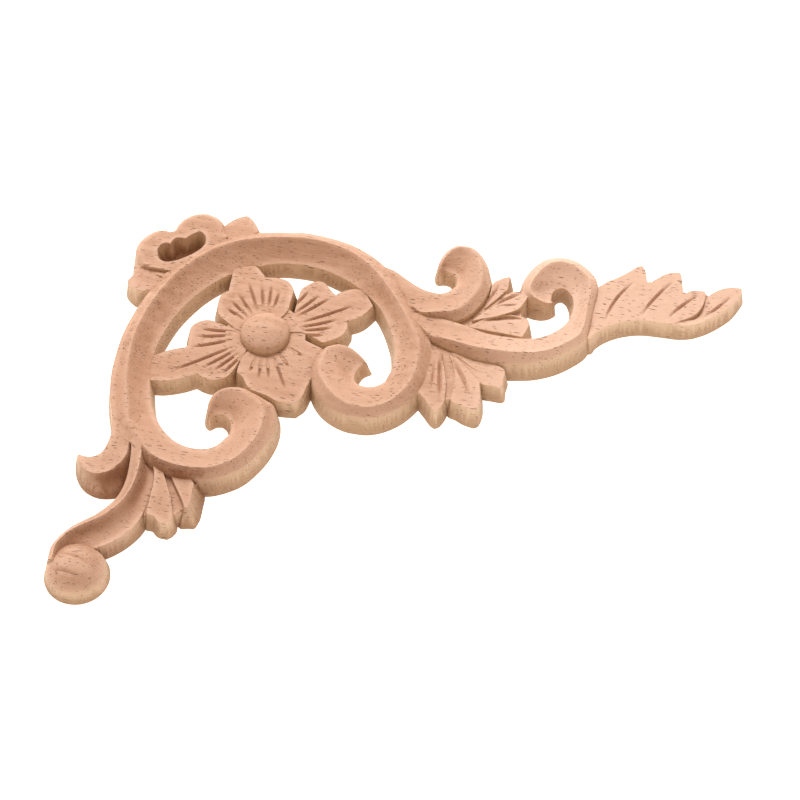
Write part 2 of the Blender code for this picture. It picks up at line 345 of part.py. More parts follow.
def nearest(points, line, closed=False, inward=False):
    """Distance from each point to a line, and where it is met; inward skips what faces away."""
    a = line[:, :2]
    b = np.roll(a, -1, axis=0) if closed else a[1:]
    a = a if closed else a[:-1]
    run = b - a
    square = np.maximum((run**2).sum(1), 1e-12)
    best = np.full(len(points), 1e9)
    place = np.zeros(len(points))
    for i in range(0, len(points), 4000):
        rel = points[i:i + 4000, None, :] - a[None]
        t = np.clip((rel * run[None]).sum(2) / square, 0, 1)
        gap = np.hypot(*np.moveaxis(rel - t[..., None] * run[None], 2, 0))
        if inward:
            turn = run[None, :, 0] * rel[..., 1] - run[None, :, 1] * rel[..., 0]
            gap = gap + FAR_AWAY * (turn > 0.02 * np.sqrt(square))
        pick = gap.argmin(1)
        rows = np.arange(len(gap))
        best[i:i + 4000] = gap[rows, pick]
        place[i:i + 4000] = pick + t[rows, pick]
    return best, place


def within(points, loop):
    """Which points lie inside a closed outline."""
    x, y = points[:, 0], points[:, 1]
    result = np.zeros(len(points), bool)
    ax, ay = loop[:, 0], loop[:, 1]
    bx, by = np.roll(ax, -1), np.roll(ay, -1)
    for x0, y0, x1, y1 in zip(ax, ay, bx, by):
        if y0 == y1:
            continue
        crosses = (y0 > y) != (y1 > y)
        result ^= crosses & (x < x0 + (y - y0) * (x1 - x0) / (y1 - y0))
    return result


def edge_ramp(gap, draft):
    """Share of the full height at a distance in from the outline."""
    return np.clip(gap / draft, 0.0, 1.0)


def along_band(points, outer):
    """Distance in from the outer line, and the line's numbers blended where two stretches meet."""
    run = outer[1:, :2] - outer[:-1, :2]
    square = np.maximum((run**2).sum(1), 1e-12)
    numbers = (outer[1:, 2:] + outer[:-1, 2:]) / 2
    reach = np.zeros(len(points))
    blend = np.zeros((len(points), numbers.shape[1]))
    for i in range(0, len(points), 4000):
        rel = points[i:i + 4000, None, :] - outer[None, :-1, :2]
        t = np.clip((rel * run[None]).sum(2) / square, 0, 1)
        gap = np.hypot(*np.moveaxis(rel - t[..., None] * run[None], 2, 0))
        turn = run[None, :, 0] * rel[..., 1] - run[None, :, 1] * rel[..., 0]
        gap = gap + FAR_AWAY * (turn > 0.02 * np.sqrt(square))
        weight = (gap + BLEND_REACH) ** -8.0 * np.sqrt(square)
        reach[i:i + 4000] = gap.min(1)
        blend[i:i + 4000] = weight @ numbers / weight.sum(1)[:, None]
    return reach, blend


def band_height(form, points):
    """Outer wall, bevel, ridge, hollow face and inner wall across a band."""
    d_out, numbers = along_band(points, form["outer"])
    d_in, _ = nearest(points, form["inner"], inward=True)
    width, wall, ridge, edge, cove = numbers.T
    draft = form["draft"]
    bevel = wall + (ridge - wall) * np.clip((d_out - draft) / width, 0, 1)
    span = np.maximum(d_out + d_in - 2 * draft - width, 0.2)
    across = np.clip((d_out - draft - width) / span, 0, 1)
    face = ridge - (ridge - edge) * (across + cove * across * (1 - across))
    top = np.where(d_out < draft + width, bevel, face)
    return top * np.minimum(edge_ramp(d_out, draft), edge_ramp(d_in, draft))


def cut_depth(points, line, half, depth, side):
    """How deep a V cut or a one-sided step goes at each point."""
    gap, place = nearest(points, line)
    last = len(line) - 1
    fade = np.sin(np.clip(place / max(last, 1), 0.02, 0.98) * math.pi) ** 0.6
    if side:
        index = np.clip(place.astype(int), 0, last - 1)
        run = line[index + 1, :2] - line[index, :2]
        rel = points - line[index, :2]
        turn = run[:, 0] * rel[:, 1] - run[:, 1] * rel[:, 0]
        gap = np.where(turn * side < 0.0, gap, gap * half / STEP_WALL)
    return depth * fade * np.clip(1 - gap / half, 0, 1)


def leaf_height(form, points):
    """A plane along the spine with cuts in it and a wall round it."""
    start, end = (np.array(p) for p in form["spine"])
    run = end - start
    length = np.hypot(*run)
    along = np.clip(((points - start) @ run) / length**2, 0, 1)
    offset = ((points - start) @ np.array([-run[1], run[0]])) / length
    low, high = form["heights"]
    top = low + (high - low) * along + form["tilt"] * offset
    for line, half, depth, side in form["cuts"]:
        top = top - cut_depth(points, line, half, depth, side)
    gap, _ = nearest(points, form["loop"], closed=True)
    return top * edge_ramp(gap, form["draft"])


def petal_height(form, points):
    """A petal falls gently away from the boss and carries radiating grooves."""
    reach = np.hypot(points[:, 0] - FLOWER[0], points[:, 1] - FLOWER[1])
    near, far = form["rise"]
    top = near + (far - near) * np.clip((reach - PETAL_START) / PETAL_REACH, 0, 1)
    for line in form["grooves"]:
        top = top - cut_depth(points, line, GROOVE["half"], GROOVE["depth"], 0)
    gap, _ = nearest(points, form["loop"], closed=True)
    return top * edge_ramp(gap, form["draft"])


def dome_height(form, points):
    """A round boss that swells from its edge."""
    reach = np.hypot(points[:, 0] - form["centre"][0], points[:, 1] - form["centre"][1])
    share = np.clip(reach / (form["radius"] - form["draft"]), 0, 1)
    swell = form["edge"] + (form["top"] - form["edge"]) * np.sqrt(np.maximum(1 - share**2, 0))
    return swell * edge_ramp(form["radius"] - reach, form["draft"])


HEIGHTS = {"band": band_height, "leaf": leaf_height, "petal": petal_height, "dome": dome_height}


def offset_line(line, distance, closed):
    """The line moved to its right, which is inward for outlines drawn clockwise."""
    if closed:
        before, after = np.roll(line, 1, axis=0), np.roll(line, -1, axis=0)
    else:
        before = np.vstack([line[:1], line[:-1]])
        after = np.vstack([line[1:], line[-1:]])
    run = after[:, :2] - before[:, :2]
    run /= np.maximum(np.hypot(run[:, 0], run[:, 1]), 1e-9)[:, None]
    return line[:, :2] + np.stack([run[:, 1], -run[:, 0]], 1) * np.reshape(distance, (-1, 1))


def signed_area(loop):
    """Twice the area of an outline, negative where it runs clockwise."""
    x, y = loop[:, 0], loop[:, 1]
    return (x * np.roll(y, -1) - y * np.roll(x, -1)).sum()


def clockwise(loop):
    """The outline turned so that its inside lies on the right."""
    return loop[::-1] if signed_area(loop) > 0 else loop


def with_cove(rows, cove):
    """Rows with one more number, how much steeper the face falls beside its ridge."""
    return [(*row, cove) for row in rows]


def carved_forms(step, sag):
    """Every form of the carving with its outline and the numbers its height needs."""
    forms = []
    sweep = with_cove(LEFT_VOLUTE, 0.3) + with_cove(RING, 0.45) + with_cove(RIGHT_VOLUTE, 0.3)
    for name, outer, inner in (
            ("band", sweep, BAND_INNER), ("hook", with_cove(HOOK_OUTER, 0.0), HOOK_INNER),
            ("stem", with_cove(STEM_OUTER, 1.4), STEM_INNER),
            ("scroll", with_cove(SCROLL_OUTER, 0.5), SCROLL_INNER),
            ("curl", with_cove(CURL_OUTER, 1.0), CURL_INNER),
            ("crest", with_cove(CREST_OUTER, 0.0), CREST_INNER)):
        outer_line = thin(smooth(outer, step), sag)
        inner_line = thin(smooth(inner, step), sag)
        loop = np.vstack([outer_line[:, :2], inner_line[:, :2]])
        if signed_area(loop) > 0:
            outer_line, inner_line, loop = outer_line[::-1], inner_line[::-1], loop[::-1]
        forms.append(dict(kind="band", name=name, outer=outer_line, inner=inner_line, loop=loop, draft=DRAFT))
    for name, leaf in LEAVES.items():
        loop = clockwise(thin_loop(closed_runs(leaf["runs"], step), sag))
        cuts = [(thin(smooth(line, step), sag), half, depth, side)
                for line, half, depth, side in leaf["cuts"]]
        forms.append(dict(leaf, kind="leaf", name=name, loop=loop, cuts=cuts))
    for name, petal in PETALS.items():
        loop = clockwise(thin_loop(closed_runs(petal["runs"], step), sag))
        lines = []
        for angle, start, end in petal["grooves"]:
            way = np.array([math.cos(math.radians(angle)), math.sin(math.radians(angle))])
            lines.append(np.array([FLOWER + way * start, FLOWER + way * (start * 0.75 + end * 0.25),
                                   FLOWER + way * (start * 0.3 + end * 0.7), FLOWER + way * end]))
        forms.append(dict(kind="petal", name=name, loop=loop, rise=petal["rise"], grooves=lines,
                          draft=PETAL_DRAFT))
    for name, dome in (("boss", BOSS), ("flower_web", FLOWER_WEB), ("ball", BALL)):
        count = int(2 * math.pi * dome["radius"] / math.sqrt(8 * dome["radius"] * sag)) + 1
        angle = -2 * math.pi * np.arange(count) / count
        ring = np.stack([np.cos(angle), np.sin(angle)], 1) * dome["radius"] + dome["centre"]
        forms.append(dict(dome, kind="dome", name=name, loop=ring))
    return forms


def surface(points, forms, pocket):
    """Height of the carved face over each point."""
    height = np.zeros(len(points))
    for form in forms:
        low, high = form["loop"].min(0) - 0.1, form["loop"].max(0) + 0.1
        close = np.where(((points > low) & (points < high)).all(1))[0]
        if not len(close):
            continue
        inside = within(points[close], form["loop"])
        on_edge = nearest(points[close], form["loop"], closed=True)[0] < WELD
        close = close[inside | on_edge]
        height[close] = np.maximum(height[close], HEIGHTS[form["kind"]](form, points[close]))
    gap, _ = nearest(points, pocket, closed=True)
    sunk = within(points, pocket)
    floor = np.maximum(POCKET_FLOOR, height - (height - POCKET_FLOOR) * edge_ramp(gap, POCKET_LEAN))
    return np.where(sunk, np.minimum(height, floor), height)


def constraint_lines(forms, pocket):
    """Outlines, wall tops, ridges and cuts as lines the mesh has to follow."""
    lines = [(pocket, True), (offset_line(pocket, POCKET_LEAN, True), True)]
    for form in forms:
        lines.append((form["loop"], True))
        if form["kind"] == "band":
            outer, inner = form["outer"], form["inner"]
            lines.append((offset_line(outer, form["draft"], False)[1:-1], False))
            ridge = offset_line(outer, form["draft"] + outer[:, 2], False)[1:-1]
            lines.append((ridge, False))
            lines.append((offset_line(inner, form["draft"], False)[1:-1], False))
            if outer[:, 6].max() > 0.5:
                span = nearest(outer[:, :2], inner)[0] - 2 * form["draft"] - outer[:, 2]
                foot = form["draft"] + outer[:, 2] + HOLLOW_LINE * np.maximum(span, 0.0)
                foot_line = offset_line(outer, foot, False)[(outer[:, 6] > 0.5) & (span > 3.0)]
                lines.append((foot_line, False))
        elif form["kind"] == "dome":
            for share in DOME_RINGS:
                lines.append((form["centre"] + (form["loop"][::2] - form["centre"]) * share, True))
        else:
            lines.append((offset_line(form["loop"], form["draft"], True), True))
        for line, half, _, side in form.get("cuts", ()):
            lines.append((line[:, :2], False))
            lines.append((offset_line(line, half * 0.97, False), False))
            lines.append((offset_line(line, -(STEP_WALL if side else half * 0.97), False), False))
        for line in form.get("grooves", ()):
            lines.append((line[[0, 3]], False))
            side = np.array([line[0, 1] - line[3, 1], line[3, 0] - line[0, 0]])
            side *= GROOVE["half"] / np.hypot(*side)
            for way in (side, -side):
                lines.append((np.array([line[0] + way, line[3] + way * 0.6]), False))
    return lines


def field_points(lines, forms, pitch, clearance):
    """Even filling points over the carving, clear of every line."""
    everything = np.vstack([form["loop"] for form in forms])
    low, high = everything.min(0), everything.max(0)
    rows = np.arange(low[1], high[1], pitch * math.sqrt(3) / 2)
    points = []
    for i, y in enumerate(rows):
        xs = np.arange(low[0] + (i % 2) * pitch / 2, high[0], pitch)
        points.append(np.stack([xs, np.full(len(xs), y)], 1))
    points = np.vstack(points)
    keep = np.ones(len(points), bool)
    for line, closed in lines:
        gap, _ = nearest(points, line, closed)
        keep &= gap > clearance
    return points[keep]


def inside_any(points, forms):
    """Which points lie over the carving."""
    result = np.zeros(len(points), bool)
    for form in forms:
        result |= within(points, form["loop"])
    return result


def triangulate(lines, extra):
    """A triangle net that follows every line, with the extra points in it."""
    verts, edges = [], []
    for line, closed in lines:
        start = len(verts)
        verts += [Vector(p) for p in np.round(line[:, :2], 4).tolist()]
        count = len(line)
        edges += [(start + i, start + i + 1) for i in range(count - 1)]
        if closed:
            edges.append((start + count - 1, start))
    verts += [Vector(p) for p in np.round(extra, 4).tolist()]
    net = delaunay_2d_cdt(verts, edges, [], 0, WELD)
    return np.array([(v.x, v.y) for v in net[0]]), np.array([tuple(f) for f in net[2]])


def boundary_edges(faces):
    """Directed edges that belong to one triangle only."""
    seen = {}
    for a, b, c in faces.tolist():
        for edge in ((a, b), (b, c), (c, a)):
            seen[edge] = True
    return [edge for edge in seen if (edge[1], edge[0]) not in seen]


def without_flat_corners(faces, height):
    """Drop triangles that lie wholly on the back."""
    while True:
        rim = {v for edge in boundary_edges(faces) for v in edge}
        on_back = np.array([[v in rim or height[v] <= 0.0 for v in f] for f in faces.tolist()]).all(1)
        if not on_back.any():
            return faces
        faces = faces[~on_back]


def build_solid(name, points, faces, height):
    """Close the carved face over a flat back."""
    faces = without_flat_corners(faces, height)
    rim = boundary_edges(faces)
    on_rim = sorted({v for edge in rim for v in edge})
    height = height.copy()
    height[on_rim] = 0.0
    used = np.unique(faces)
    order = {int(v): i for i, v in enumerate(used)}
    back = {v: i for i, v in enumerate(on_rim)}
    flat = delaunay_2d_cdt([Vector(points[v].tolist()) for v in on_rim], [(back[a], back[b]) for a, b in rim],
                           [], 0, 1e-5)
    corners = np.array([(v.x, v.y) for v in flat[0]])
    middle = np.array([corners[list(f)].mean(0) for f in flat[2]])
    solid = np.zeros(len(middle), bool)
    for a, b in rim:
        (x0, y0), (x1, y1) = points[a], points[b]
        if y0 == y1:
            continue
        crosses = (y0 > middle[:, 1]) != (y1 > middle[:, 1])
        solid ^= crosses & (middle[:, 0] < x0 + (middle[:, 1] - y0) * (x1 - x0) / (y1 - y0))
    source = [flat[3][i][0] for i in range(len(flat[0]))]
    mesh = bmesh.new()
    plan = (points - np.array(FLOWER)) * MM
    verts = [mesh.verts.new((*plan[v], height[v] * MM)) for v in used]
    for f in faces:
        mesh.faces.new([verts[order[int(v)]] for v in f])
    for keep, f in zip(solid, flat[2]):
        if keep:
            mesh.faces.new([verts[order[on_rim[source[v]]]] for v in reversed(f)])
    bmesh.ops.recalc_face_normals(mesh, faces=mesh.faces)
    data = bpy.data.meshes.new(name)
    mesh.to_mesh(data)
    mesh.free()
    data.shade_smooth()
    made = bpy.data.objects.new(name, data)
    bpy.context.scene.collection.objects.link(made)
    return made


def wood_material(name):
    """Bare pale rubberwood."""
    material = bpy.data.materials.new(name)
    material.use_nodes = True
    shader = material.node_tree.nodes["Principled BSDF"]
    shader.inputs["Base Color"].default_value = WOOD_COLOUR
    shader.inputs["Roughness"].default_value = WOOD_ROUGHNESS
    shader.inputs["Metallic"].default_value = 0.0
    return material


for old in list(bpy.data.objects):
    bpy.data.objects.remove(old, do_unlink=True)

forms = carved_forms(OUTLINE_STEP, OUTLINE_SAG)
pocket = clockwise(thin_loop(closed_runs(POCKET, OUTLINE_STEP), OUTLINE_SAG))
lines = constraint_lines(forms, pocket)
net_points, net_faces = triangulate(lines, field_points(lines, forms, FIELD_PITCH, CLEARANCE))
net_faces = net_faces[inside_any(net_points[net_faces].mean(1), forms)]
net_height = surface(net_points, forms, pocket)
carving = build_solid("carved_applique", net_points, net_faces, net_height)
carving.data.materials.append(wood_material("rubberwood"))
print("triangles", sum(len(p.vertices) - 2 for p in carving.data.polygons))
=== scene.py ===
"""Carved rubberwood corner applique, bare and unsanded, lying face up on a pale studio floor."""

import math

import bmesh
import bpy
import numpy as np
from mathutils import Matrix, Vector
from mathutils.geometry import delaunay_2d_cdt


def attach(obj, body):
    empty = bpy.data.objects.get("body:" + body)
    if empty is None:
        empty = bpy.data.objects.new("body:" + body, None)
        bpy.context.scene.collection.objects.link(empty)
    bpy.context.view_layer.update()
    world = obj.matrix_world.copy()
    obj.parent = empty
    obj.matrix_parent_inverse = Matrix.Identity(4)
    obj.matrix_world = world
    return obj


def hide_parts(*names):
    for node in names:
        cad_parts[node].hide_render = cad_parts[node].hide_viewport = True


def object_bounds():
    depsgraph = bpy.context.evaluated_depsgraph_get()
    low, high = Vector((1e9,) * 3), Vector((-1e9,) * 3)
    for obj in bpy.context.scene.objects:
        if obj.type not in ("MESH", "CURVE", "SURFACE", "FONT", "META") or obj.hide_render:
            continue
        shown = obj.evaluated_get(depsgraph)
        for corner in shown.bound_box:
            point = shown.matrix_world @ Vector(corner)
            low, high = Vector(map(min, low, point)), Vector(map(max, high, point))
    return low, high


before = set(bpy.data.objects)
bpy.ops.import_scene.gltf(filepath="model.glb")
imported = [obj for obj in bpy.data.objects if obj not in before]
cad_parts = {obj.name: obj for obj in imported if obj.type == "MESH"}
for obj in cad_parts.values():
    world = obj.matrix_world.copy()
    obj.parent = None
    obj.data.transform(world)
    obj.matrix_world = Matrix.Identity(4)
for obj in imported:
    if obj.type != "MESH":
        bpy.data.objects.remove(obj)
cad_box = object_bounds()

# Ring and its two volutes
# One long band of carved wood that starts in the left volute, runs round the ring and ends in the
# right volute.  It is part of the one board; the cutter left a bevel outside, a ridge, and a face
# that falls to the inner edge, steeply beside the ridge along the ring and evenly in the volutes.


def level(wall, ridge, edge, *rows):
    """Rows that share their heights."""
    return [(*row, wall, ridge, edge) for row in rows]


# Plan positions are millimetres at the back of the board, before it is moved to the flower's middle.
# Each row: x, y, width of the outer bevel, height of the wall, of the ridge and of the inner edge.
LEFT_VOLUTE = [
    (-11.3, -33.2, 0.4, 5.5, 6, 5.8), (-13.2, -31.4, 0.8, 6.3, 7, 6), (-13.9, -27.4, 1, 7, 8.4, 6.4),
    (-12.9, -23.4, 1.2, 7.5, 9, 6.8), (-10.2, -20.1, 1.5, 7.5, 9.4, 7.2),
    (-6.2, -18.6, 1.8, 7.5, 9.6, 7.6), (-2.3, -18.6, 2.2, 7.5, 10, 7.9),
    (1.4, -19.8, 2.8, 7.2, 10.3, 8.2), (5.2, -21.2, 3.4, 7, 10.6, 8.4), (8.8, -23.2, 3.8, 7, 11, 8.7),
    (10.8, -27.5, 4, 7, 11.2, 8.9), (11.4, -32.5, 3.8, 7, 11.3, 9), (10.6, -38.2, 3.2, 7.2, 11.4, 9.1),
    (8.2, -44.8, 2.9, 7.6, 11.4, 9.2), (3.7, -51.8, 2.7, 8, 11.4, 9.3),
    (-3.2, -56.6, 2.6, 8, 11.4, 9.5), (-9.2, -58.2, 2.5, 8, 11.4, 9.5),
    (-14.4, -58.5, 2.5, 8, 11.4, 9.5), (-19.8, -57.7, 2.3, 8, 11.4, 9.4),
    (-24.8, -55.9, 2.1, 8.2, 11.3, 9.2), (-29.2, -53.2, 2.2, 8.6, 11.2, 9)]
RING = [
    (-33.4, -49.6, 3.2, 10.2, 11.2, 8.7), (-37.6, -46.4, 3.8, 8.8, 11.2, 8.2),
    (-41, -42.4, 4.8, 8.6, 11.2, 7.7), (-42.8, -38, 5.2, 8.8, 11.2, 7.3),
    (-44.6, -33, 5.3, 8.8, 11.1, 7), (-46.4, -26, 5.2, 9, 11.1, 6.8), (-47.2, -18, 4.8, 9, 11.1, 6.6),
    *level(9, 11.1, 6.5, (-47.2, -8, 4.2), (-46, 0.2, 3.9), (-44.5, 6.3, 3.7), (-41.9, 14.4, 3.6),
           (-38.4, 22, 3.6), (-33.8, 28.6, 3.6), (-28.7, 34.2, 3.6), (-22.5, 38.9, 3.6),
           (-12.3, 43.2, 3.5), (-0.1, 45.8, 3.5), (5, 46.2, 3.5), (12.6, 45.7, 3.5), (20.3, 44, 3.7)),
    (28, 40.6, 4.2, 8.8, 11.1, 6.6)]
RIGHT_VOLUTE = [
    (34.5, 36, 4.8, 8.6, 11.4, 6.8), (40, 30.5, 5, 8.4, 11.4, 7.1), (44.3, 24.8, 4.8, 8.2, 11.4, 7.4),
    (47.9, 19.3, 4.4, 8, 11.3, 7.8), (50.9, 14.8, 4.2, 8, 11.2, 8.2), (53.3, 10.4, 4, 8, 11.1, 8.5),
    (54.7, 5.4, 4, 8, 11, 8.7),
    *level(8, 11, 8.8, (54.9, 0, 4), (54.6, -5.4, 3.8), (53.2, -10.6, 3.3), (50, -16.3, 2.8),
           (46.8, -20, 2.5), (42.7, -23, 2.4), (38.7, -24.6, 2.4), (34.6, -25, 2.4),
           (30.2, -24.6, 2.6)),
    (25.5, -22.8, 3, 7.8, 11, 8.6), (21.4, -19.8, 3.2, 7.6, 10.8, 8.4),
    (18.2, -15.6, 3, 7.4, 10.4, 8.1), (16.2, -11, 2.6, 7.4, 10, 7.8), (15.6, -6.5, 2.2, 7.4, 9.6, 7.5),
    (16.4, -1.8, 1.9, 7.4, 9.4, 7.2), (18.8, 2.6, 1.6, 7.4, 9.2, 7), (23.2, 4.9, 1.3, 7.2, 8.8, 6.7),
    (27.6, 4.4, 1.1, 7, 8.4, 6.4), (31.2, 2.5, 0.9, 6.6, 7.6, 6.2), (33.8, 0.5, 0.6, 6, 6.6, 6),
    (35.3, -1, 0.4, 5.6, 6, 5.8)]
# Inner edge, from the barb of the right volute back along the ring to the barb of the left volute.
BAND_INNER = [
    (34, -1.9), (32.8, -3), (32, -4.7), (31.7, -6.4), (32.1, -8.2), (33.4, -9.6), (35.1, -10),
    (37.3, -9.5), (39.5, -7.4), (41, -3.6), (41, 0.4), (39.9, 6), (37.7, 11.2), (34.9, 16.3),
    (31.9, 20.4), (27, 24.7), (20.6, 28.8), (12, 31.8), (4.5, 32.4), (-3.5, 31.4), (-11.1, 28),
    (-16.8, 24.4), (-20.8, 20.7), (-24.8, 15.8), (-28.2, 9.9), (-30.8, 3.9), (-32.6, -3), (-33.5, -9.5),
    (-33.3, -16.3), (-32, -22.5), (-29.4, -30.7), (-26.9, -35.3), (-23.8, -39.5), (-19.9, -43),
    (-16.2, -44.8), (-12.7, -45.3), (-9.2, -44.8), (-6.6, -42.8), (-4.9, -39.4), (-4.5, -36),
    (-5.2, -33), (-7.2, -31.2), (-9.2, -31.4), (-10.4, -32.4)]
WALL_LEAN = 1.2        # how far a wall leans in from the back to its top edge
LINE_STEP = 0.5        # spacing of points along every carved line
LINE_SAG = 0.003       # how far a line may stray from its curve
BATCH = 4000           # points worked on at a time
FAR_AWAY = 1000.0      # added to a distance that must not count
SIDE_SLACK = 0.02      # how far past a line still counts as its inner side
BLEND_REACH = 0.4      # how far the numbers of a band's rows run into each other
BLEND_POWER = -8.0     # and how fast a row's weight falls with distance
LEAST_FACE = 0.2       # a band's hollow face is never narrower
RIDGE_WEAR = 0.12      # how much of a ridge's point is worn off
RIDGE_SOFT = 0.5       # and over what width on either side


def smooth(rows):
    """Points every few tenths of a millimetre on a smooth curve through the rows."""
    rows = np.asarray(rows, float)
    step = LINE_STEP / 2
    if len(rows) < 3:
        count = max(2, int(np.hypot(*(rows[-1, :2] - rows[0, :2])) / step) + 1)
        return rows[0] + (rows[-1] - rows[0]) * np.linspace(0, 1, count)[:, None]
    padded = np.vstack([2 * rows[0] - rows[1], rows, 2 * rows[-1] - rows[-2]])
    out = []
    for a, b, c, d in zip(padded[:-3], padded[1:-2], padded[2:-1], padded[3:]):
        count = max(1, int(np.hypot(*(c[:2] - b[:2])) / step))
        t = (np.arange(count) / count)[:, None]
        out.append((2 * t**3 - 3 * t**2 + 1) * b + (t**3 - 2 * t**2 + t) * ((c - a) / 2)
                   + (3 * t**2 - 2 * t**3) * c + (t**3 - t**2) * ((d - b) / 2))
    return np.vstack(out + [rows[-1:]])


def thin(points):
    """Leave out points that lie within the sag of the line between those kept."""
    keep = [0, len(points) - 1]
    stack = [(0, len(points) - 1)]
    while stack:
        a, b = stack.pop()
        if b - a < 2:
            continue
        run = points[b, :2] - points[a, :2]
        rel = points[a + 1:b, :2] - points[a, :2]
        length = np.hypot(*run)
        if length < 1e-6:
            far = np.hypot(rel[:, 0], rel[:, 1])
        else:
            far = np.abs(rel[:, 0] * run[1] - rel[:, 1] * run[0]) / length
        worst = int(np.argmax(far))
        if far[worst] > LINE_SAG:
            keep.append(a + 1 + worst)
            stack += [(a, a + 1 + worst), (a + 1 + worst, b)]
    return points[sorted(set(keep))]


def batches(points, start, run, inward):
    """Distances from some points at a time to each stretch of a line, and how far along it."""
    square = np.maximum((run**2).sum(1), 1e-12)
    for i in range(0, len(points), BATCH):
        rel = points[i:i + BATCH, None, :] - start[None]
        t = np.clip((rel * run[None]).sum(2) / square, 0, 1)
        gap = np.hypot(*np.moveaxis(rel - t[..., None] * run[None], 2, 0))
        if inward:
            turn = run[None, :, 0] * rel[..., 1] - run[None, :, 1] * rel[..., 0]
            gap = gap + FAR_AWAY * (turn > SIDE_SLACK * np.sqrt(square))
        yield slice(i, i + BATCH), gap, t


def nearest(points, line, closed=False, inward=False):
    """Distance from each point to a line, and where it is met; inward skips what faces away."""
    a = line[:, :2]
    run = (np.roll(a, -1, axis=0) - a) if closed else a[1:] - a[:-1]
    best, place = np.zeros((2, len(points)))
    for batch, gap, t in batches(points, a[:len(run)], run, inward):
        pick = gap.argmin(1)
        rows = np.arange(len(gap))
        best[batch] = gap[rows, pick]
        place[batch] = pick + t[rows, pick]
    return best, place


def signed_area(loop):
    """Twice the area of an outline, negative where it runs clockwise."""
    x, y = loop[:, 0], loop[:, 1]
    return (x * np.roll(y, -1) - y * np.roll(x, -1)).sum()


def with_cove(rows, cove):
    """Rows with one more number, how much steeper the face falls beside its ridge."""
    return [(*row, cove) for row in rows]


def edge_ramp(gap, draft):
    """Share of the full height at a distance in from the outline."""
    return np.clip(gap / draft, 0.0, 1.0)


def band_form(name, outer, inner):
    """A band between an outer line with its heights and an inner line."""
    outer, inner = thin(smooth(outer)), thin(smooth(inner))
    loop = np.vstack([outer[:, :2], inner[:, :2]])
    if signed_area(loop) > 0:
        outer, inner, loop = outer[::-1], inner[::-1], loop[::-1]
    return dict(kind="band", name=name, outer=outer, inner=inner, loop=loop, draft=WALL_LEAN)


def along_band(points, outer):
    """Distance in from the outer line, and the line's numbers blended where two stretches meet."""
    run = outer[1:, :2] - outer[:-1, :2]
    length = np.sqrt((run**2).sum(1))
    numbers = (outer[1:, 2:] + outer[:-1, 2:]) / 2
    reach = np.zeros(len(points))
    blend = np.zeros((len(points), numbers.shape[1]))
    for batch, gap, _ in batches(points, outer[:-1, :2], run, True):
        weight = (gap + BLEND_REACH) ** BLEND_POWER * length
        reach[batch] = gap.min(1)
        blend[batch] = weight @ numbers / weight.sum(1)[:, None]
    return reach, blend


def band_height(form, points):
    """Outer wall, bevel, ridge, hollow face and inner wall across a band."""
    d_out, numbers = along_band(points, form["outer"])
    d_in, _ = nearest(points, form["inner"], inward=True)
    width, wall, ridge, edge, cove = numbers.T
    draft = form["draft"]
    bevel = wall + (ridge - wall) * np.clip((d_out - draft) / width, 0, 1)
    span = np.maximum(d_out + d_in - 2 * draft - width, LEAST_FACE)
    across = np.clip((d_out - draft - width) / span, 0, 1)
    face = ridge - (ridge - edge) * (across + cove * across * (1 - across))
    top = np.where(d_out < draft + width, bevel, face)
    top -= RIDGE_WEAR * np.clip(1 - np.abs(d_out - draft - width) / RIDGE_SOFT, 0, 1) ** 2
    return top * np.minimum(edge_ramp(d_out, draft), edge_ramp(d_in, draft))


sweep = with_cove(LEFT_VOLUTE, 0.3) + with_cove(RING, 0.45) + with_cove(RIGHT_VOLUTE, 0.3)
forms = [band_form("ring", sweep, BAND_INNER)]

# Short arm: hook, stem and ball
# Below the ring a hook curls out to the left, and a stem with a raised left rim runs down to a
# round ball that ends the arm.  All of it is cut in the same board.

HOOK_OUTER = [
    (-34, -34, 1.4, 9, 11, 8.8), (-32, -42, 1.2, 8.4, 10.7, 8.6), (-30.2, -48.4, 1.6, 6, 9.8, 8.4),
    (-29, -54, 3, 4.4, 9.3, 8.2), (-29.8, -59.4, 4.4, 3.4, 9, 8), (-33.4, -63.6, 4.2, 3.2, 8.8, 7.9),
    (-38.9, -65.1, 3, 3.2, 8.8, 7.8), (-43.6, -63.9, 1.8, 4.2, 8.8, 7.8),
    (-46.7, -61.3, 1, 5.6, 8.6, 7.8), (-48.8, -57.9, 0.6, 6.8, 8.6, 7.8),
    (-49.9, -54.4, 0.5, 7.4, 8, 7.8)]
HOOK_INNER = [
    (-48.2, -53.5), (-46, -54), (-43.9, -53.6), (-42.2, -52.2), (-41.3, -49.6), (-41, -46.4),
    (-41.5, -42.4), (-42.6, -38.4), (-43.4, -35)]
STEM_OUTER = [
    (-34.6, -44, 2.6, 10.6, 11.1, 8.6), (-33.2, -49.5, 3.2, 10.3, 11.1, 7.6),
    (-32.4, -54.5, 3.4, 9, 10.7, 6.9), (-32, -60.4, 3.2, 8.2, 10.3, 6.5),
    (-32.4, -65.2, 3, 8, 10.1, 6.5), (-33.8, -69.4, 2.8, 8, 10, 6.5), (-37.2, -74.3, 2.6, 8, 10, 6.5),
    (-41, -77.7, 2.4, 7.8, 10, 6.5), (-44.4, -80.9, 2.2, 7.5, 9.8, 6.5),
    (-47.1, -84.8, 2, 7.2, 9.6, 6.5), (-48.7, -89, 1.8, 7, 9.3, 6.5), (-48.6, -94, 1.8, 6.8, 9, 6.5)]
STEM_INNER = [
    (-42, -94), (-36, -89.5), (-31.2, -86.3), (-28.2, -83.7), (-25.6, -80.7), (-23.1, -76.6),
    (-21.8, -72.4), (-21.4, -67), (-21.5, -61), (-22.2, -55), (-26, -50)]
BALL = dict(centre=(-38.5, -94), radius=10.3, edge=1.2, top=10.2, draft=0.4)
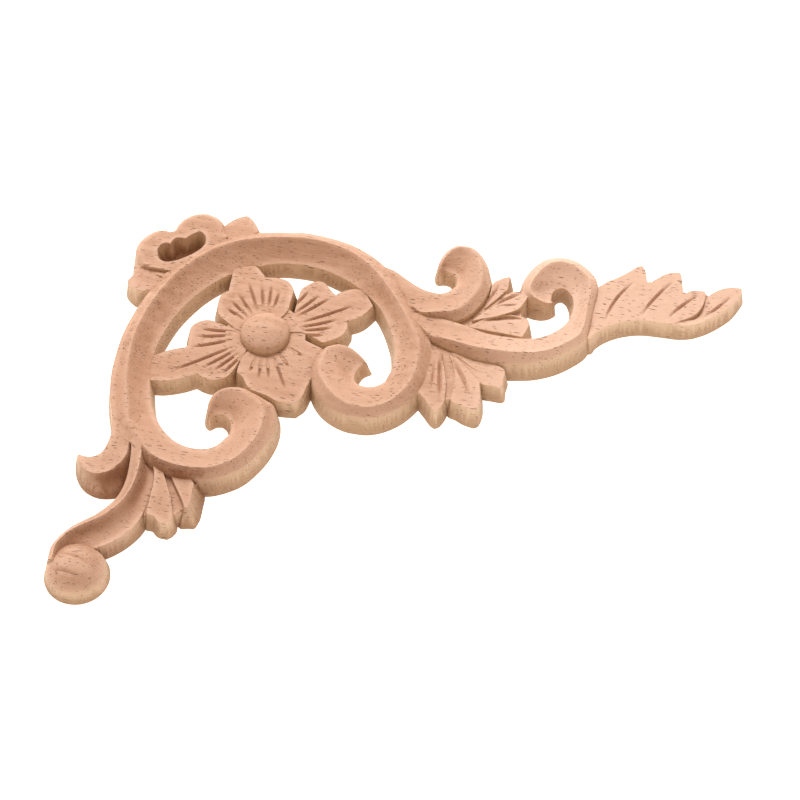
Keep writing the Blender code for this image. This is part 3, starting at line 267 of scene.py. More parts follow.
# Two shallow creases left by the cutter across the ball, with half width, depth and side.
BALL_CUTS = [(((-47, -96.6), (-43.5, -97.6), (-39.5, -98.4), (-35.5, -99.2)), 0.8, 0.45, 0),
             (((-45.5, -92), (-41.5, -92.4), (-37, -93.2), (-32.5, -94.8)), 0.8, 0.40, 0)]


def dome_form(name, dome):
    """A round boss on a circle."""
    count = int(2 * math.pi * dome["radius"] / LINE_STEP)
    angle = -2 * math.pi * np.arange(count) / count
    circle = np.stack([np.cos(angle), np.sin(angle)], 1) * dome["radius"] + dome["centre"]
    return dict(dome, kind="dome", name=name, loop=circle)


def dome_height(form, points):
    """A round boss that swells from its edge, with any creases across it."""
    reach = np.hypot(points[:, 0] - form["centre"][0], points[:, 1] - form["centre"][1])
    share = np.clip(reach / (form["radius"] - form["draft"]), 0, 1)
    swell = form["edge"] + (form["top"] - form["edge"]) * np.sqrt(np.maximum(1 - share**2, 0))
    for cut in form.get("cuts", ()):
        swell = swell - cut_depth(points, *cut)
    return swell * edge_ramp(form["radius"] - reach, form["draft"])


forms.append(band_form("hook", with_cove(HOOK_OUTER, 0.0), HOOK_INNER))
forms.append(band_form("stem", with_cove(STEM_OUTER, 1.4), STEM_INNER))
forms.append(dict(dome_form("ball", BALL), cuts=[(smooth(line), *cut) for line, *cut in BALL_CUTS]))

# Long arm: scroll and curl
# Two C-scrolls leave the ring on the right.  The first turns up and back over the ring; the second
# runs along the foot of the arm and curls round to its barb, with a crisp raised rim.

SCROLL_OUTER = [
    (49.2, 38.7, 0.5, 5.8, 6.6, 6.2), (48, 39.8, 0.8, 6.4, 7.2, 6.5), (47.4, 42.4, 1.2, 7, 8.4, 6.8),
    (48.2, 46.1, 1.6, 7.4, 9.2, 7.4), (49.9, 49.4, 2, 7.6, 9.8, 7.9), (52.6, 51.9, 2.4, 7.6, 10.1, 8.3),
    (55.6, 52.6, 2.6, 7.6, 10.3, 8.6), (59.1, 52.1, 2.6, 7.6, 10.4, 8.8),
    (62.2, 49.8, 2.6, 7.6, 10.5, 8.9), (64.7, 46.8, 2.6, 7.6, 10.6, 9), (66.6, 43.4, 2.6, 7.6, 10.7, 9),
    (67.8, 39.8, 2.7, 7.4, 10.8, 9),
    *level(8.2, 10.5, 9, (68.3, 35.8, 2.8), (67.7, 31.6, 3), (66.6, 28, 3.1), (64.8, 24.4, 3.1),
           (62.3, 21.2, 3), (59, 19, 2.8)),
    (54.7, 18.5, 1.6, 8.2, 10.5, 8.8), (51, 18.2, 1, 8.4, 10.5, 8.8), (47, 18.4, 0.6, 8.4, 9.9, 8.8),
    (43.5, 20, 0.4, 8.6, 9.4, 8.8)]
SCROLL_INNER = [
    (29.6, 38.2), (35.5, 36.7), (40.4, 33.9), (45.2, 31.5), (49.9, 30.5), (52.6, 31.2), (54.3, 33.2),
    (54.8, 35.4), (54.4, 37.6), (53.2, 39), (51.4, 39.4)]
CURL_OUTER = [
    (42.5, 17, 0.6, 9, 10, 8.8), (46.5, 13.5, 0.6, 8.8, 9.6, 8.6), (51.5, 9.8, 0.9, 8.2, 9.4, 8.5),
    (56.5, 8, 1.6, 8.2, 10.5, 8.6), (61.5, 6.4, 2.3, 8, 10.9, 8.6), (67, 5.2, 2.7, 8, 11, 8.7),
    *level(8, 11, 8.8, (74.9, 5, 3), (81.2, 5.8, 2.7), (87.3, 7.4, 2.3), (93.3, 10.5, 2),
           (98, 14.5, 1.9)),
    (101.6, 18.8, 1.9, 8, 11, 8.7), (103, 23.6, 1.9, 7.8, 10.5, 8), (103.2, 29, 2, 7.6, 10.5, 8),
    *level(7.6, 10, 7.4, (103.2, 35, 2.2), (103.4, 41, 2.4), (102.2, 46, 2.8), (99.7, 49.3, 3.1),
           (96.6, 51.8, 3.3), (93.4, 53.4, 3.4), (89.7, 54.1, 3.4), (85.8, 53.6, 3.4),
           (82.3, 51.8, 3.4), (79.4, 48.6, 3.4), (77.4, 44.7, 3.4), (76.2, 40.8, 3.2)),
    (76, 37, 3, 7.4, 9.6, 7), (77.6, 33.6, 2.4, 7.2, 9.6, 7), (80.6, 31.7, 1.4, 7.2, 9.6, 7),
    (84.6, 31.3, 0.8, 7, 8.6, 6.8), (87.6, 32.4, 0.5, 6.4, 7.2, 6.4), (89.5, 34.3, 0.3, 5.8, 6.2, 6)]
CURL_INNER = [
    (88.7, 36.4), (88.5, 38), (89.2, 39.4), (90.5, 40), (92.1, 39), (93.5, 36.4), (94.1, 32.9),
    (93.8, 29.4), (92.5, 25.7), (90.2, 22.4), (87.4, 20.1), (83.8, 18.5), (79.2, 17.7), (70.1, 17.6),
    (61.9, 19.6), (54, 20.8), (47.5, 22)]

forms.append(band_form("scroll", with_cove(SCROLL_OUTER, 0.5), SCROLL_INNER))
forms.append(band_form("curl", with_cove(CURL_OUTER, 1), CURL_INNER))

# Feathered end of the long arm
# Four pointed lobes like a split leaf, each with one deep vein, the third stepping down under the
# fourth.  They grow out of the curl without a joint.

# Runs of smooth outline meet in corners.  The spine is a line with a height at each end.  A cut is
# a line with its half width, its depth and its side: 0 for a V, else the side that a step falls to.
STEP_WALL = 0.35       # width of the steep side of a step
CUT_FADE = 0.6         # how bluntly a cut runs out at its ends
CUT_END = 0.02         # share of its length where the end keeps its depth
LEAF_DRAFT = 1.2       # how far a leaf's wall leans in
TAIL = dict(
    runs=[[(97, 38), (100.5, 43)], [(104.2, 47.3), (107.2, 49.6), (110.2, 52.5), (112.7, 55.3)],
          [(115.2, 56.2), (116.9, 53.9)], [(118, 50.2), (119.3, 51.3), (121.8, 53.8), (124.6, 55.5)],
          [(128.1, 56), (129.2, 53.2)], [(130.3, 48.3), (131.7, 49.3), (134.4, 49.9)],
          [(137.2, 50)], [(137.6, 48.9), (138.6, 49.9), (141.5, 52.2), (144.8, 53.5)],
          [(149, 53.8), (149.2, 51.4), (148, 47.9), (146, 43.8), (142.9, 40.1), (139.9, 37.2),
           (136.8, 35), (133.8, 33.5), (129.8, 32.6), (124.7, 32.4), (119.6, 32.1), (116.1, 31.4),
           (112.6, 30.1), (109.5, 28.4), (106.5, 26), (104.5, 23.6), (102.9, 21)], [(98, 22)]],
    spine=((102, 32), (149, 50)), heights=(7.6, 6.6), draft=1,
    cuts=[([(106.4, 30.5), (107, 34.8), (108.5, 39.8), (110.6, 44), (112.9, 47.6)], 0.7, 1, 0),
          ([(117.6, 35), (119.7, 40.5), (122.3, 45.5), (125.2, 50.2)], 0.7, 1, 0),
          ([(126.4, 36), (129.9, 41.5), (134.5, 46.8)], 0.7, 1, 0),
          ([(137, 38.5), (140.5, 42), (143.5, 46), (145.6, 49)], 0.7, 0.9, 0),
          ([(129.6, 34.4), (134.5, 38.2), (136.7, 42.5), (137.5, 48.9)], 3.4, 1.4, 1)])


def clockwise(runs):
    """A closed outline of smooth runs that meet in corners, thinned, with its inside on the right."""
    loop = np.vstack([smooth(here + after[:1])[:-1] for here, after in zip(runs, runs[1:] + runs[:1])])
    far = int(np.argmax(np.hypot(*(loop - loop[0]).T)))
    loop = np.vstack([thin(loop[:far + 1])[:-1], thin(np.vstack([loop[far:], loop[:1]]))[:-1]])
    return loop[::-1] if signed_area(loop) > 0 else loop


def leaf_form(name, leaf):
    """A leaf with its outline and cuts made smooth."""
    leaf = dict(tilt=0.0, draft=LEAF_DRAFT, cuts=[], kind="leaf", name=name) | leaf
    cuts = [(thin(smooth(line)), *cut) for line, *cut in leaf["cuts"]]
    return dict(leaf, loop=clockwise(leaf["runs"]), cuts=cuts)


def cut_depth(points, line, half, depth, side):
    """How deep a V cut or a one-sided step goes at each point."""
    gap, place = nearest(points, line)
    last = len(line) - 1
    fade = np.sin(np.clip(place / max(last, 1), CUT_END, 1 - CUT_END) * math.pi) ** CUT_FADE
    if side:
        index = np.clip(place.astype(int), 0, last - 1)
        run = line[index + 1, :2] - line[index, :2]
        rel = points - line[index, :2]
        turn = run[:, 0] * rel[:, 1] - run[:, 1] * rel[:, 0]
        gap = np.where(turn * side < 0.0, gap, gap * half / STEP_WALL)
    return depth * fade * np.clip(1 - gap / half, 0, 1)


def leaf_height(form, points):
    """A plane along the spine with cuts in it and a wall round it."""
    start, end = (np.array(p) for p in form["spine"])
    run = end - start
    length = np.hypot(*run)
    along = np.clip(((points - start) @ run) / length**2, 0, 1)
    offset = ((points - start) @ np.array([-run[1], run[0]])) / length
    low, high = form["heights"]
    top = low + (high - low) * along + form["tilt"] * offset
    for cut in form["cuts"]:
        top = top - cut_depth(points, *cut)
    gap, _ = nearest(points, form["loop"], closed=True)
    return top * edge_ramp(gap, form["draft"])


forms.append(leaf_form("tail", TAIL))

# Leaves between the scrolls, below the long arm and beside the short arm
# Fans of short veined leaves.  In each fan the leaves stand a little above a common web, so that
# the valleys between them stay shallow and only the notches at the edge cut right through.

LEAVES = {
    "upper_leaf_a": dict(
    runs=[[(60, 20), (64.5, 25), (66.2, 31), (66.6, 38.3)], [(69.5, 41.4), (72.4, 42.8)],
          [(74.1, 42.4), (73.9, 39), (73.6, 35.5)], [(68, 27)]],
    spine=((62, 21), (73, 42)), heights=(6.8, 7.6),
    cuts=[([(64.3, 24.5), (66.9, 29.5), (68.9, 34.5), (70, 38)], 0.7, 0.7, 0)]),
    "upper_leaf_b": dict(
    runs=[[(60, 19), (67, 27.5), (73.2, 36)], [(76.5, 37.2), (80.8, 37.5)],
          [(81.3, 34.6), (80.2, 31), (78.2, 27.4)], [(72, 23.6)]],
    spine=((62, 20.5), (80, 35)), heights=(7.2, 8.2), tilt=-0.10,
    cuts=[([(64.8, 25), (69.8, 29.5), (74.8, 33.5), (77.2, 34.9)], 0.8, 0.9, 0),
          ([(71.4, 29.2), (77.8, 30.5)], 0.5, 0.5, 0)]),
    "upper_leaf_c": dict(
    runs=[[(60, 18), (66, 23.4), (69.6, 26), (73.6, 27.4), (79.4, 27.4)],
          [(82.4, 26.4), (83.4, 24.2), (83, 21.2)], [(82, 17)]],
    spine=((62, 20), (82, 24)), heights=(7.2, 7.6),
    cuts=[([(67.8, 22.5), (71.8, 24.7), (75.8, 25.7), (79.3, 25.3)], 1.8, 1.6, 1)]),
    "upper_web": dict(
    runs=[[(56, 17)], [(66.8, 37.8)], [(72.6, 36.6)], [(80.4, 31.4), (80, 27.4)], [(82.4, 20)],
          [(80, 16)]],
    spine=((60, 20), (80, 28)), heights=(6.4, 6.6), draft=1),
    "lower_leaf_a": dict(
    runs=[[(49, 9), (50.4, 0), (50.2, -10)], [(52.4, -11.8)], [(54.9, -14.4), (57.2, -16.9)],
          [(58.9, -18), (60.4, -17), (61.6, -14.4)], [(62.2, -11.6), (61.4, -5), (59.4, 1.7)],
          [(57.5, 8)]],
    spine=((55.5, 7), (59, -17)), heights=(8.2, 8),
    cuts=[([(56.5, 6.4), (57, 1.4), (57.9, -3.6), (58.9, -8.6), (59.9, -13)], 0.9, 1, 0),
          ([(55, 3), (55.6, -3), (56, -9)], 0.7, 0.6, 0)]),
    "lower_leaf_b": dict(
    runs=[[(57, 8), (60.4, 1), (61.6, -6), (62, -12)], [(65, -13.4), (68, -14.7)],
          [(71.2, -15.3), (72.7, -14.1), (73.3, -10.3), (72.6, -5.8)], [(71.6, -2)], [(62, 7)]],
    spine=((59, 6.5), (71.5, -13)), heights=(7.6, 8.6), tilt=0.05,
    cuts=[([(60.6, 4.6), (64.8, -1.6), (68.2, -8)], 0.9, 1, 0),
          ([(59, 5), (61.6, -0.5), (62.9, -6)], 0.7, 0.6, 0)]),
    "lower_leaf_c": dict(
    runs=[[(56, 8.6), (62, 3.6), (66.6, -0.4), (71, -3.5)], [(75.1, -3.8), (78.1, -3.8)],
          [(79.2, -2.9), (78.9, 0.3), (77.8, 5.8)], [(66, 9)]],
    spine=((58, 8), (78, -2)), heights=(7.6, 7),
    cuts=[([(58, 7.7), (61.7, 5.8), (65.7, 3.3), (69.3, 1.5), (74, 0.7)], 0.7, 0.8, 0)]),
    "lower_web": dict(
    runs=[[(50, 12)], [(51, -8)], [(57, -13)], [(62.2, -11.6)], [(67, -10)],
          [(71.6, -3.6)], [(76, 5.8)]],
    spine=((56, 6), (70, -8)), heights=(7, 7.3), draft=1),
    "arm_leaf_a": dict(
    runs=[[(-28, -49), (-23.8, -58), (-23, -66), (-22.4, -72.9)],
          [(-19.6, -73.7), (-17.5, -75.4)], [(-14.6, -75.7), (-13, -74.1), (-12.3, -71.1)],
          [(-14.6, -64), (-18.6, -56.6)], [(-22, -51)]],
    spine=((-25, -52), (-17.5, -74)), heights=(8.6, 7.8), tilt=-0.12),
    "arm_leaf_b": dict(
    runs=[[(-24, -52), (-19.5, -59.5), (-15, -66), (-12, -70.6)],
          [(-8.9, -70.4), (-7, -69.8)], [(-6.1, -66.5), (-6.3, -62.5), (-7.1, -56.9)],
          [(-12, -52)]],
    spine=((-20, -55), (-10.5, -69)), heights=(7.4, 7.6), tilt=0.08, draft=3.2,
    cuts=[([(-19.8, -57.6), (-16.8, -62), (-14.8, -66), (-12.8, -70)], 1.2, 1.1, 0)]),
    "arm_web": dict(
    runs=[[(-30, -47)], [(-23.2, -73.2)], [(-16.6, -72.4)], [(-12.3, -70.3)], [(-8.6, -67.4)],
          [(-8, -55)]],
    spine=((-24, -52), (-14, -70)), heights=(6.8, 6.2), draft=1),
}
forms += [leaf_form(name, leaf) for name, leaf in LEAVES.items()]

# Crest and buds
# Two lobes with a deep blind pocket between them crown the upper left of the ring, with a small
# pointed bud on either side.  The pocket is rough, and painted shade darkens its bottom.

CREST_OUTER = [
    (-48.8, 20.6, 1.2, 7.6, 9.4, 9.4), (-51, 24, 1.6, 7.8, 9.8, 9.8), (-52, 28.2, 2, 8, 10, 10),
    (-50.9, 32.8, 2.2, 8, 10.2, 10), (-47.7, 37, 2.2, 8, 10.2, 10), (-43.8, 38.8, 1.8, 8, 10.2, 10),
    (-41.3, 38.5, 1.2, 8, 10, 10), (-40.8, 40.6, 1.4, 8, 10, 10),
    *level(8, 10.2, 10, (-39.2, 44, 2), (-36, 47, 2.2), (-31.1, 48.3, 2.2), (-26.6, 47, 2)),
    (-23.6, 44.4, 1.6, 8, 10, 10), (-21.8, 40.8, 1.4, 8.4, 10, 10)]
CREST_INNER = [(-21.8, 33.8), (-25.7, 30.9), (-30.2, 25.9), (-34.5, 19.8), (-42, 19.4), (-47.6, 19.7)]
POCKET = [
    [(-43.4, 27.8), (-42.8, 29.9), (-41.2, 31.1)], [(-39.7, 31), (-39.2, 32.8), (-37.9, 34)],
    [(-35.3, 34.2), (-33.5, 36.4), (-31.3, 37.9), (-29.4, 36.8), (-28.4, 34.4), (-28.9, 31.8),
     (-30.6, 29.3), (-33, 26.9), (-36, 24.8), (-39.4, 23.6), (-42.2, 24.7)]]
POCKET_FLOOR = 3.2
POCKET_LEAN = 1.4
BUDS = {
    "left_bud": dict(
    runs=[[(-51.4, 14.8), (-50.2, 12.8), (-48.3, 11.2), (-46.3, 10.2), (-44, 10)], [(-39.5, 11)],
          [(-37, 18)], [(-44, 19.2), (-48.6, 18.6)]],
    spine=((-40, 15), (-50.5, 15)), heights=(9.4, 8.2), draft=1),
    "right_bud": dict(
    runs=[[(-25.8, 41), (-24.4, 44.6), (-21.7, 47.9), (-18.6, 49.9)], [(-16.8, 49.8), (-13.8, 46.8)],
          [(-11, 42.6)], [(-14, 38.5)], [(-22, 36)]],
    spine=((-20, 38), (-18, 49)), heights=(9.6, 8), tilt=-0.08, draft=1),
    "crest_web": dict(
    runs=[[(-49.6, 17), (-50, 22)], [(-38, 24)], [(-36, 17)]],
    spine=((-40, 19), (-50, 19)), heights=(8.5, 7.8), draft=1),
}
forms.append(band_form("crest", with_cove(CREST_OUTER, 0), CREST_INNER))
forms += [leaf_form(name, bud) for name, bud in BUDS.items()]
pocket = clockwise(POCKET)

# Flower
# A domed boss and four petals with grooves that run out from it.  The petal tips touch the ring
# and hold the flower in the opening.

FLOWER = (-1, 2.5)
BOSS = dict(centre=FLOWER, radius=8.6, edge=7.8, top=11.8, draft=0.5)
FLOWER_WEB = dict(centre=FLOWER, radius=14, edge=6.9, top=7.1, draft=1)
# Grooves: angle in degrees, inner and outer radius.
PETALS = {
    "top_petal": dict(
    runs=[[(0, 4), (4.9, 12), (5.4, 17), (5.3, 22.4), (3.3, 25.8), (0.5, 27.3), (-3, 27.6)],
          [(-5.6, 27.2), (-10.8, 31.1)], [(-18.8, 28)], [(-18.3, 18.6), (-20, 16.6), (-20.5, 13.4),
          (-20, 9.8), (-18.6, 6.6), (-15.6, 4.4), (-9, 1)]],
    rise=(7.6, 6.9),
    grooves=[(88, 11, 18), (97, 11, 20), (106, 11, 20), (117, 10, 22), (130, 9, 19), (141, 9, 18),
             (151, 9, 17)]),
    "right_petal": dict(
    runs=[[(1, 2), (4.6, 12), (4.8, 22.6), (6.7, 26.3), (9.3, 28.6), (12, 29.3), (14.4, 28.5)],
          [(17.6, 25.4), (21.5, 28)], [(27, 29)], [(32.4, 21.8), (30.4, 18), (28.2, 15.2)],
          [(25.4, 13.4), (25.7, 10.6), (24.4, 7), (21.6, 4.4), (18, 2.2)],
          [(15.4, 3), (10, 4.6)]],
    rise=(7.4, 6.6),
    grooves=[(64, 14, 23), (55, 13, 24), (48, 13, 26), (35, 13, 31), (27, 12, 24), (20, 12, 22),
             (12, 12, 19)]),
    "bottom_petal": dict(
    runs=[[(-7.6, -6), (-8, -13.4)], [(-5.4, -16), (-2, -20), (4, -21.6), (8.6, -23.2)],
          [(14.6, -22.8), (17, -19.4), (18, -14), (19.4, -8)], [(20.4, -3), (19.8, 1.6)],
          [(14.6, 3.8), (10, 5), (2, 4)]],
    rise=(7.4, 6.6),
    grooves=[(264, 10, 15), (276, 10, 17), (287, 10, 17), (300, 10, 22), (314, 9, 15), (338, 9, 15)]),
    "left_petal": dict(
    runs=[[(-1, 4), (-12, 4.6), (-18.6, 6.4), (-22.6, 6), (-25.8, 3.6), (-27, 0.4),
          (-26.4, -3.6)],
          [(-26.4, -5.6), (-30.6, -7.6)], [(-38.5, -13)],
          [(-37, -23), (-31.2, -22.9), (-27.2, -22), (-22.6, -20)],
          [(-19.2, -17.9), (-16.8, -18.8), (-14, -19.2), (-11, -18.4), (-8, -16.2)],
          [(-6.4, -12.6), (-4, -4)]],
    rise=(7.4, 6.5),
    grooves=[(184, 9, 21), (192, 11, 22), (202, 11, 24), (216, 11, 32), (224, 11, 23), (232, 11, 21),
             (240, 11, 20)]),
}
PETAL_DRAFT = 1.4
PETAL_START = 9.0      # a petal falls away from this distance to the boss
PETAL_REACH = 20.0     # and over this length
GROOVE_HALF = 0.65
GROOVE_DEPTH = 0.9
GROOVE_POINTS = 8


def petal_form(name, petal):
    """A petal with its outline and its radiating grooves."""
    grooves = []
    for angle, start, end in petal["grooves"]:
        turn = math.radians(angle)
        way = np.array([math.cos(turn), math.sin(turn)])
        grooves.append(np.array(FLOWER) + way * np.linspace(start, end, GROOVE_POINTS)[:, None])
    return dict(kind="petal", name=name, loop=clockwise(petal["runs"]), rise=petal["rise"],
                grooves=grooves, draft=PETAL_DRAFT)


def petal_height(form, points):
    """A petal falls gently away from the boss and carries radiating grooves."""
    reach = np.hypot(points[:, 0] - FLOWER[0], points[:, 1] - FLOWER[1])
    near, far = form["rise"]
    top = near + (far - near) * np.clip((reach - PETAL_START) / PETAL_REACH, 0, 1)
    for line in form["grooves"]:
        top = top - cut_depth(points, line, GROOVE_HALF, GROOVE_DEPTH, 0)
    gap, _ = nearest(points, form["loop"], closed=True)
    return top * edge_ramp(gap, form["draft"])


forms += [petal_form(name, petal) for name, petal in PETALS.items()]
forms += [dome_form("flower_web", FLOWER_WEB), dome_form("boss", BOSS)]

# The carved board
# One board of pale rubberwood, glued up from two strips, cut right through round every form and
# carved on its face.  The net of its face follows every edge, ridge, cut and valley of the forms
# above, takes the highest of them over each point, and is closed by a flat sawn back.

MM = 0.001
FIELD_PITCH = 0.62     # spacing of the points that fill the faces
CLEARANCE = 0.3        # a filling point stays this far from every line
WELD = 0.03            # points closer than this become one
BACK_WELD = 0.00001    # and on the back
BOX_SLACK = 0.1        # added round a form's box before its points are picked
FOOT = 0.5             # valleys are looked for above this height
LID = 0.05             # the carving stays this far under the top of the solid
SHARP_EDGE = 38.0      # degrees
WAVER = 0.05           # how far hand and cutter stray from the true height
WAVER_FROM = 4.0       # the height where this starts
WAVER_OVER = 3.0       # and the height over which it grows to its full size
# Waves of straying: turn, length and share; each swings sideways over a longer length.
WAVES = ((0.4, 11.0, 0.5), (1.7, 7.3, 0.35), (2.9, 4.7, 0.3), (0.9, 3.1, 0.2))
SWING, SWING_LENGTH = 1.7, 1.6
HEIGHTS = {"band": band_height, "leaf": leaf_height, "petal": petal_height, "dome": dome_height}


def within(points, corners, after=None):
    """Which points lie inside a closed outline, or between edges that run from corners to after."""
    after = np.roll(corners, -1, axis=0) if after is None else after
    x, y = points[:, 0], points[:, 1]
    result = np.zeros(len(points), bool)
    for (x0, y0), (x1, y1) in zip(corners, after):
        if y0 != y1:
            result ^= ((y0 > y) != (y1 > y)) & (x < x0 + (y - y0) * (x1 - x0) / (y1 - y0))
    return result


def under_form(points, form):
    """The numbers of the points that a form covers."""
    low, high = form["loop"].min(0) - BOX_SLACK, form["loop"].max(0) + BOX_SLACK
    close = np.where(((points > low) & (points < high)).all(1))[0]
    return close[within(points[close], form["loop"])]


def over_any(points):
    """Which points lie over the carving."""
    result = np.zeros(len(points), bool)
    for form in forms:
        result[under_form(points, form)] = True
    return result


def form_heights(points):
    """Height of every form over each point, zero outside it."""
    table = np.zeros((len(forms), len(points)))
    for row, form in zip(table, forms):
        covered = under_form(points, form)
        row[covered] = HEIGHTS[form["kind"]](form, points[covered])
    return table


def sink_pocket(points, height):
    """The face with the blind pocket cut in it."""
    gap, _ = nearest(points, pocket, closed=True)
    floor = np.maximum(POCKET_FLOOR, height - (height - POCKET_FLOOR) * edge_ramp(gap, POCKET_LEAN))
    return np.where(within(points, pocket), np.minimum(height, floor), height)


def waver(points):
    """A slow unevenness made of a few crossing waves."""
    total = np.zeros(len(points))
    for turn, length, share in WAVES:
        along = points[:, 0] * math.cos(turn) + points[:, 1] * math.sin(turn)
        across = points[:, 1] * math.cos(turn) - points[:, 0] * math.sin(turn)
        swing = SWING * np.sin(across * 2 * math.pi / (length * SWING_LENGTH))
        total += share * np.sin(along * 2 * math.pi / length + swing)
    return WAVER * total


def offset_line(line, distance, closed=False):
    """The line moved to its right, which is inward for outlines drawn clockwise."""
    if closed:
        before, after = np.roll(line, 1, axis=0), np.roll(line, -1, axis=0)
    else:
        before, after = np.vstack([line[:1], line[:-1]]), np.vstack([line[1:], line[-1:]])
    run = after[:, :2] - before[:, :2]
    run /= np.maximum(np.hypot(run[:, 0], run[:, 1]), 1e-9)[:, None]
    return line[:, :2] + np.stack([run[:, 1], -run[:, 0]], 1) * np.reshape(distance, (-1, 1))


def even(line):
    """Points at an even spacing along a thinned line, its corners kept."""
    out = []
    for a, b in zip(line[:-1], line[1:]):
        count = max(1, int(round(np.hypot(*(b[:2] - a[:2])) / LINE_STEP)))
        out.append(a + (b - a) * (np.arange(count) / count)[:, None])
    return np.vstack(out + [line[-1:]])


def carved_lines():
    """Every line that the net has to follow, and whether it is closed."""
    lines = [(pocket, True), (offset_line(pocket, POCKET_LEAN, True), True)]
    for form in forms:
        draft = form["draft"]
        lines.append((form["loop"], True))
        if form["kind"] == "band":
            outer, inner = form["outer"], form["inner"]
            for line, gap in ((outer, draft), (outer, draft + outer[:, 2]), (inner, draft)):
                lines.append((offset_line(line, gap)[2:-2], False))
        else:
            lines.append((offset_line(form["loop"], draft, True), True))
        cuts = [(line, half, STEP_WALL if side else half) for line, half, _, side in form.get("cuts", ())]
        cuts += [(line, GROOVE_HALF, GROOVE_HALF) for line in form.get("grooves", ())]
        for line, right, left in cuts:
            lines += [(offset_line(line, beside), False) for beside in (0.0, right, -left)]
    return [(even(np.vstack([line, line[:1]]) if closed else line), closed) for line, closed in lines]


def clear_of(spots, taken):
    """Which spots have none of the taken points close by."""
    filled = {}
    for k, cell in enumerate(np.floor(taken / CLEARANCE).astype(int).tolist()):
        filled.setdefault(tuple(cell), []).append(k)
    keep = np.ones(len(spots), bool)
    for n, (i, j) in enumerate(np.floor(spots / CLEARANCE).astype(int).tolist()):
        x, y = spots[n]
        near = [k for di in (-1, 0, 1) for dj in (-1, 0, 1) for k in filled.get((i + di, j + dj), ())]
        keep[n] = not any((taken[k, 0] - x) ** 2 + (taken[k, 1] - y) ** 2 < CLEARANCE**2 for k in near)
    return keep


def filling_points(lines):
    """Even points over the carving, clear of every line."""
    corners = np.vstack([form["loop"] for form in forms])
    low, high = corners.min(0), corners.max(0)
    spots = []
    for i, y in enumerate(np.arange(low[1], high[1], FIELD_PITCH * math.sqrt(3) / 2)):
        xs = np.arange(low[0] + (i % 2) * FIELD_PITCH / 2, high[0], FIELD_PITCH)
        spots.append(np.stack([xs, np.full(len(xs), y)], 1))
    spots = np.vstack(spots)
    spots = spots[over_any(spots)]
    return spots[clear_of(spots, np.vstack([line for line, _ in lines]))]


def triangulate(lines, extra):
    """A triangle net over the carving that follows every line, with the extra points in it."""
    verts, edges = [], []
    for line, closed in lines:
        start = len(verts)
        count = len(line) - (1 if closed else 0)
        verts += [Vector(p) for p in np.round(line[:count, :2], 4).tolist()]
        edges += [(start + i, start + i + 1) for i in range(count - 1)]
        if closed:
            edges.append((start + count - 1, start))
    verts += [Vector(p) for p in np.round(extra, 4).tolist()]
    net = delaunay_2d_cdt(verts, edges, [], 0, WELD)
    points, faces = np.array([(v.x, v.y) for v in net[0]]), np.array([tuple(f) for f in net[2]])
    return points, faces[over_any(points[faces].mean(1))]


def all_edges(faces):
    """The three edges of every triangle."""
    return np.vstack([faces[:, [0, 1]], faces[:, [1, 2]], faces[:, [2, 0]]])


def valley_points(points, faces, table):
    """Points where two forms pass through each other, one on each edge that joins them."""
    a, b = np.unique(np.sort(all_edges(faces), 1), axis=0).T
    top = table.argmax(0)
    both = (top[a] != top[b]) & (table[top[a], a] > FOOT) & (table[top[b], b] > FOOT)
    a, b = a[both], b[both]
    gap_a = table[top[a], a] - table[top[b], a]
    gap_b = table[top[b], b] - table[top[a], b]
    share = gap_a / np.maximum(gap_a + gap_b, 1e-6)
    return points[a] + (points[b] - points[a]) * share[:, None]


def boundary_edges(faces):
    """Directed edges that belong to one triangle only."""
    edges = [edge for a, b, c in faces.tolist() for edge in ((a, b), (b, c), (c, a))]
    known = set(edges)
    return [(a, b) for a, b in edges if (b, a) not in known]


def without_flat_corners(faces, height):
    """Drop triangles that lie wholly on the back."""
    while True:
        rim = {v for edge in boundary_edges(faces) for v in edge}
        on_back = np.array([[v in rim or height[v] <= 0.0 for v in f] for f in faces.tolist()]).all(1)
        if not on_back.any():
            return faces
        faces = faces[~on_back]


def sawn_back(points, rim, on_rim):
    """Triangles of the flat back between the rims, as indices of the rim's points."""
    order = {v: i for i, v in enumerate(on_rim)}
    net = delaunay_2d_cdt([Vector(points[v].tolist()) for v in on_rim],
                          [(order[a], order[b]) for a, b in rim], [], 0, BACK_WELD)
    corners = np.array([(v.x, v.y) for v in net[0]])
    middle = np.array([corners[list(f)].mean(0) for f in net[2]])
    start, end = np.array(rim).T
    solid = within(middle, points[start], points[end])
    source = [on_rim[made_from[0]] for made_from in net[3]]
    return [[source[v] for v in reversed(f)] for keep, f in zip(solid, net[2]) if keep]


def softened(values, faces, rounds):
    """Values spread over their neighbours in the net."""
    edges = all_edges(faces)
    for _ in range(rounds):
        total, count = np.zeros(len(values)), np.zeros(len(values))
        for a, b in (edges.T, edges.T[::-1]):
            np.add.at(total, a, values[b])
            np.add.at(count, a, 1)
        values = np.where(count > 0, total / np.maximum(count, 1), values)
    return values


lines = carved_lines()
spots = filling_points(lines)
net_points, net_faces = triangulate(lines, spots)
valleys = valley_points(net_points, net_faces, form_heights(net_points))
net_points, net_faces = triangulate(lines, np.vstack([spots[clear_of(spots, valleys)], valleys]))
height = sink_pocket(net_points, form_heights(net_points).max(0))
height += waver(net_points) * np.clip((height - WAVER_FROM) / WAVER_OVER, 0, 1)
height = np.clip(height, 0.0, cad_box[1][2] / MM - LID)
net_faces = without_flat_corners(net_faces, height)
rim = boundary_edges(net_faces)
on_rim = sorted({v for edge in rim for v in edge})
height[on_rim] = 0.0

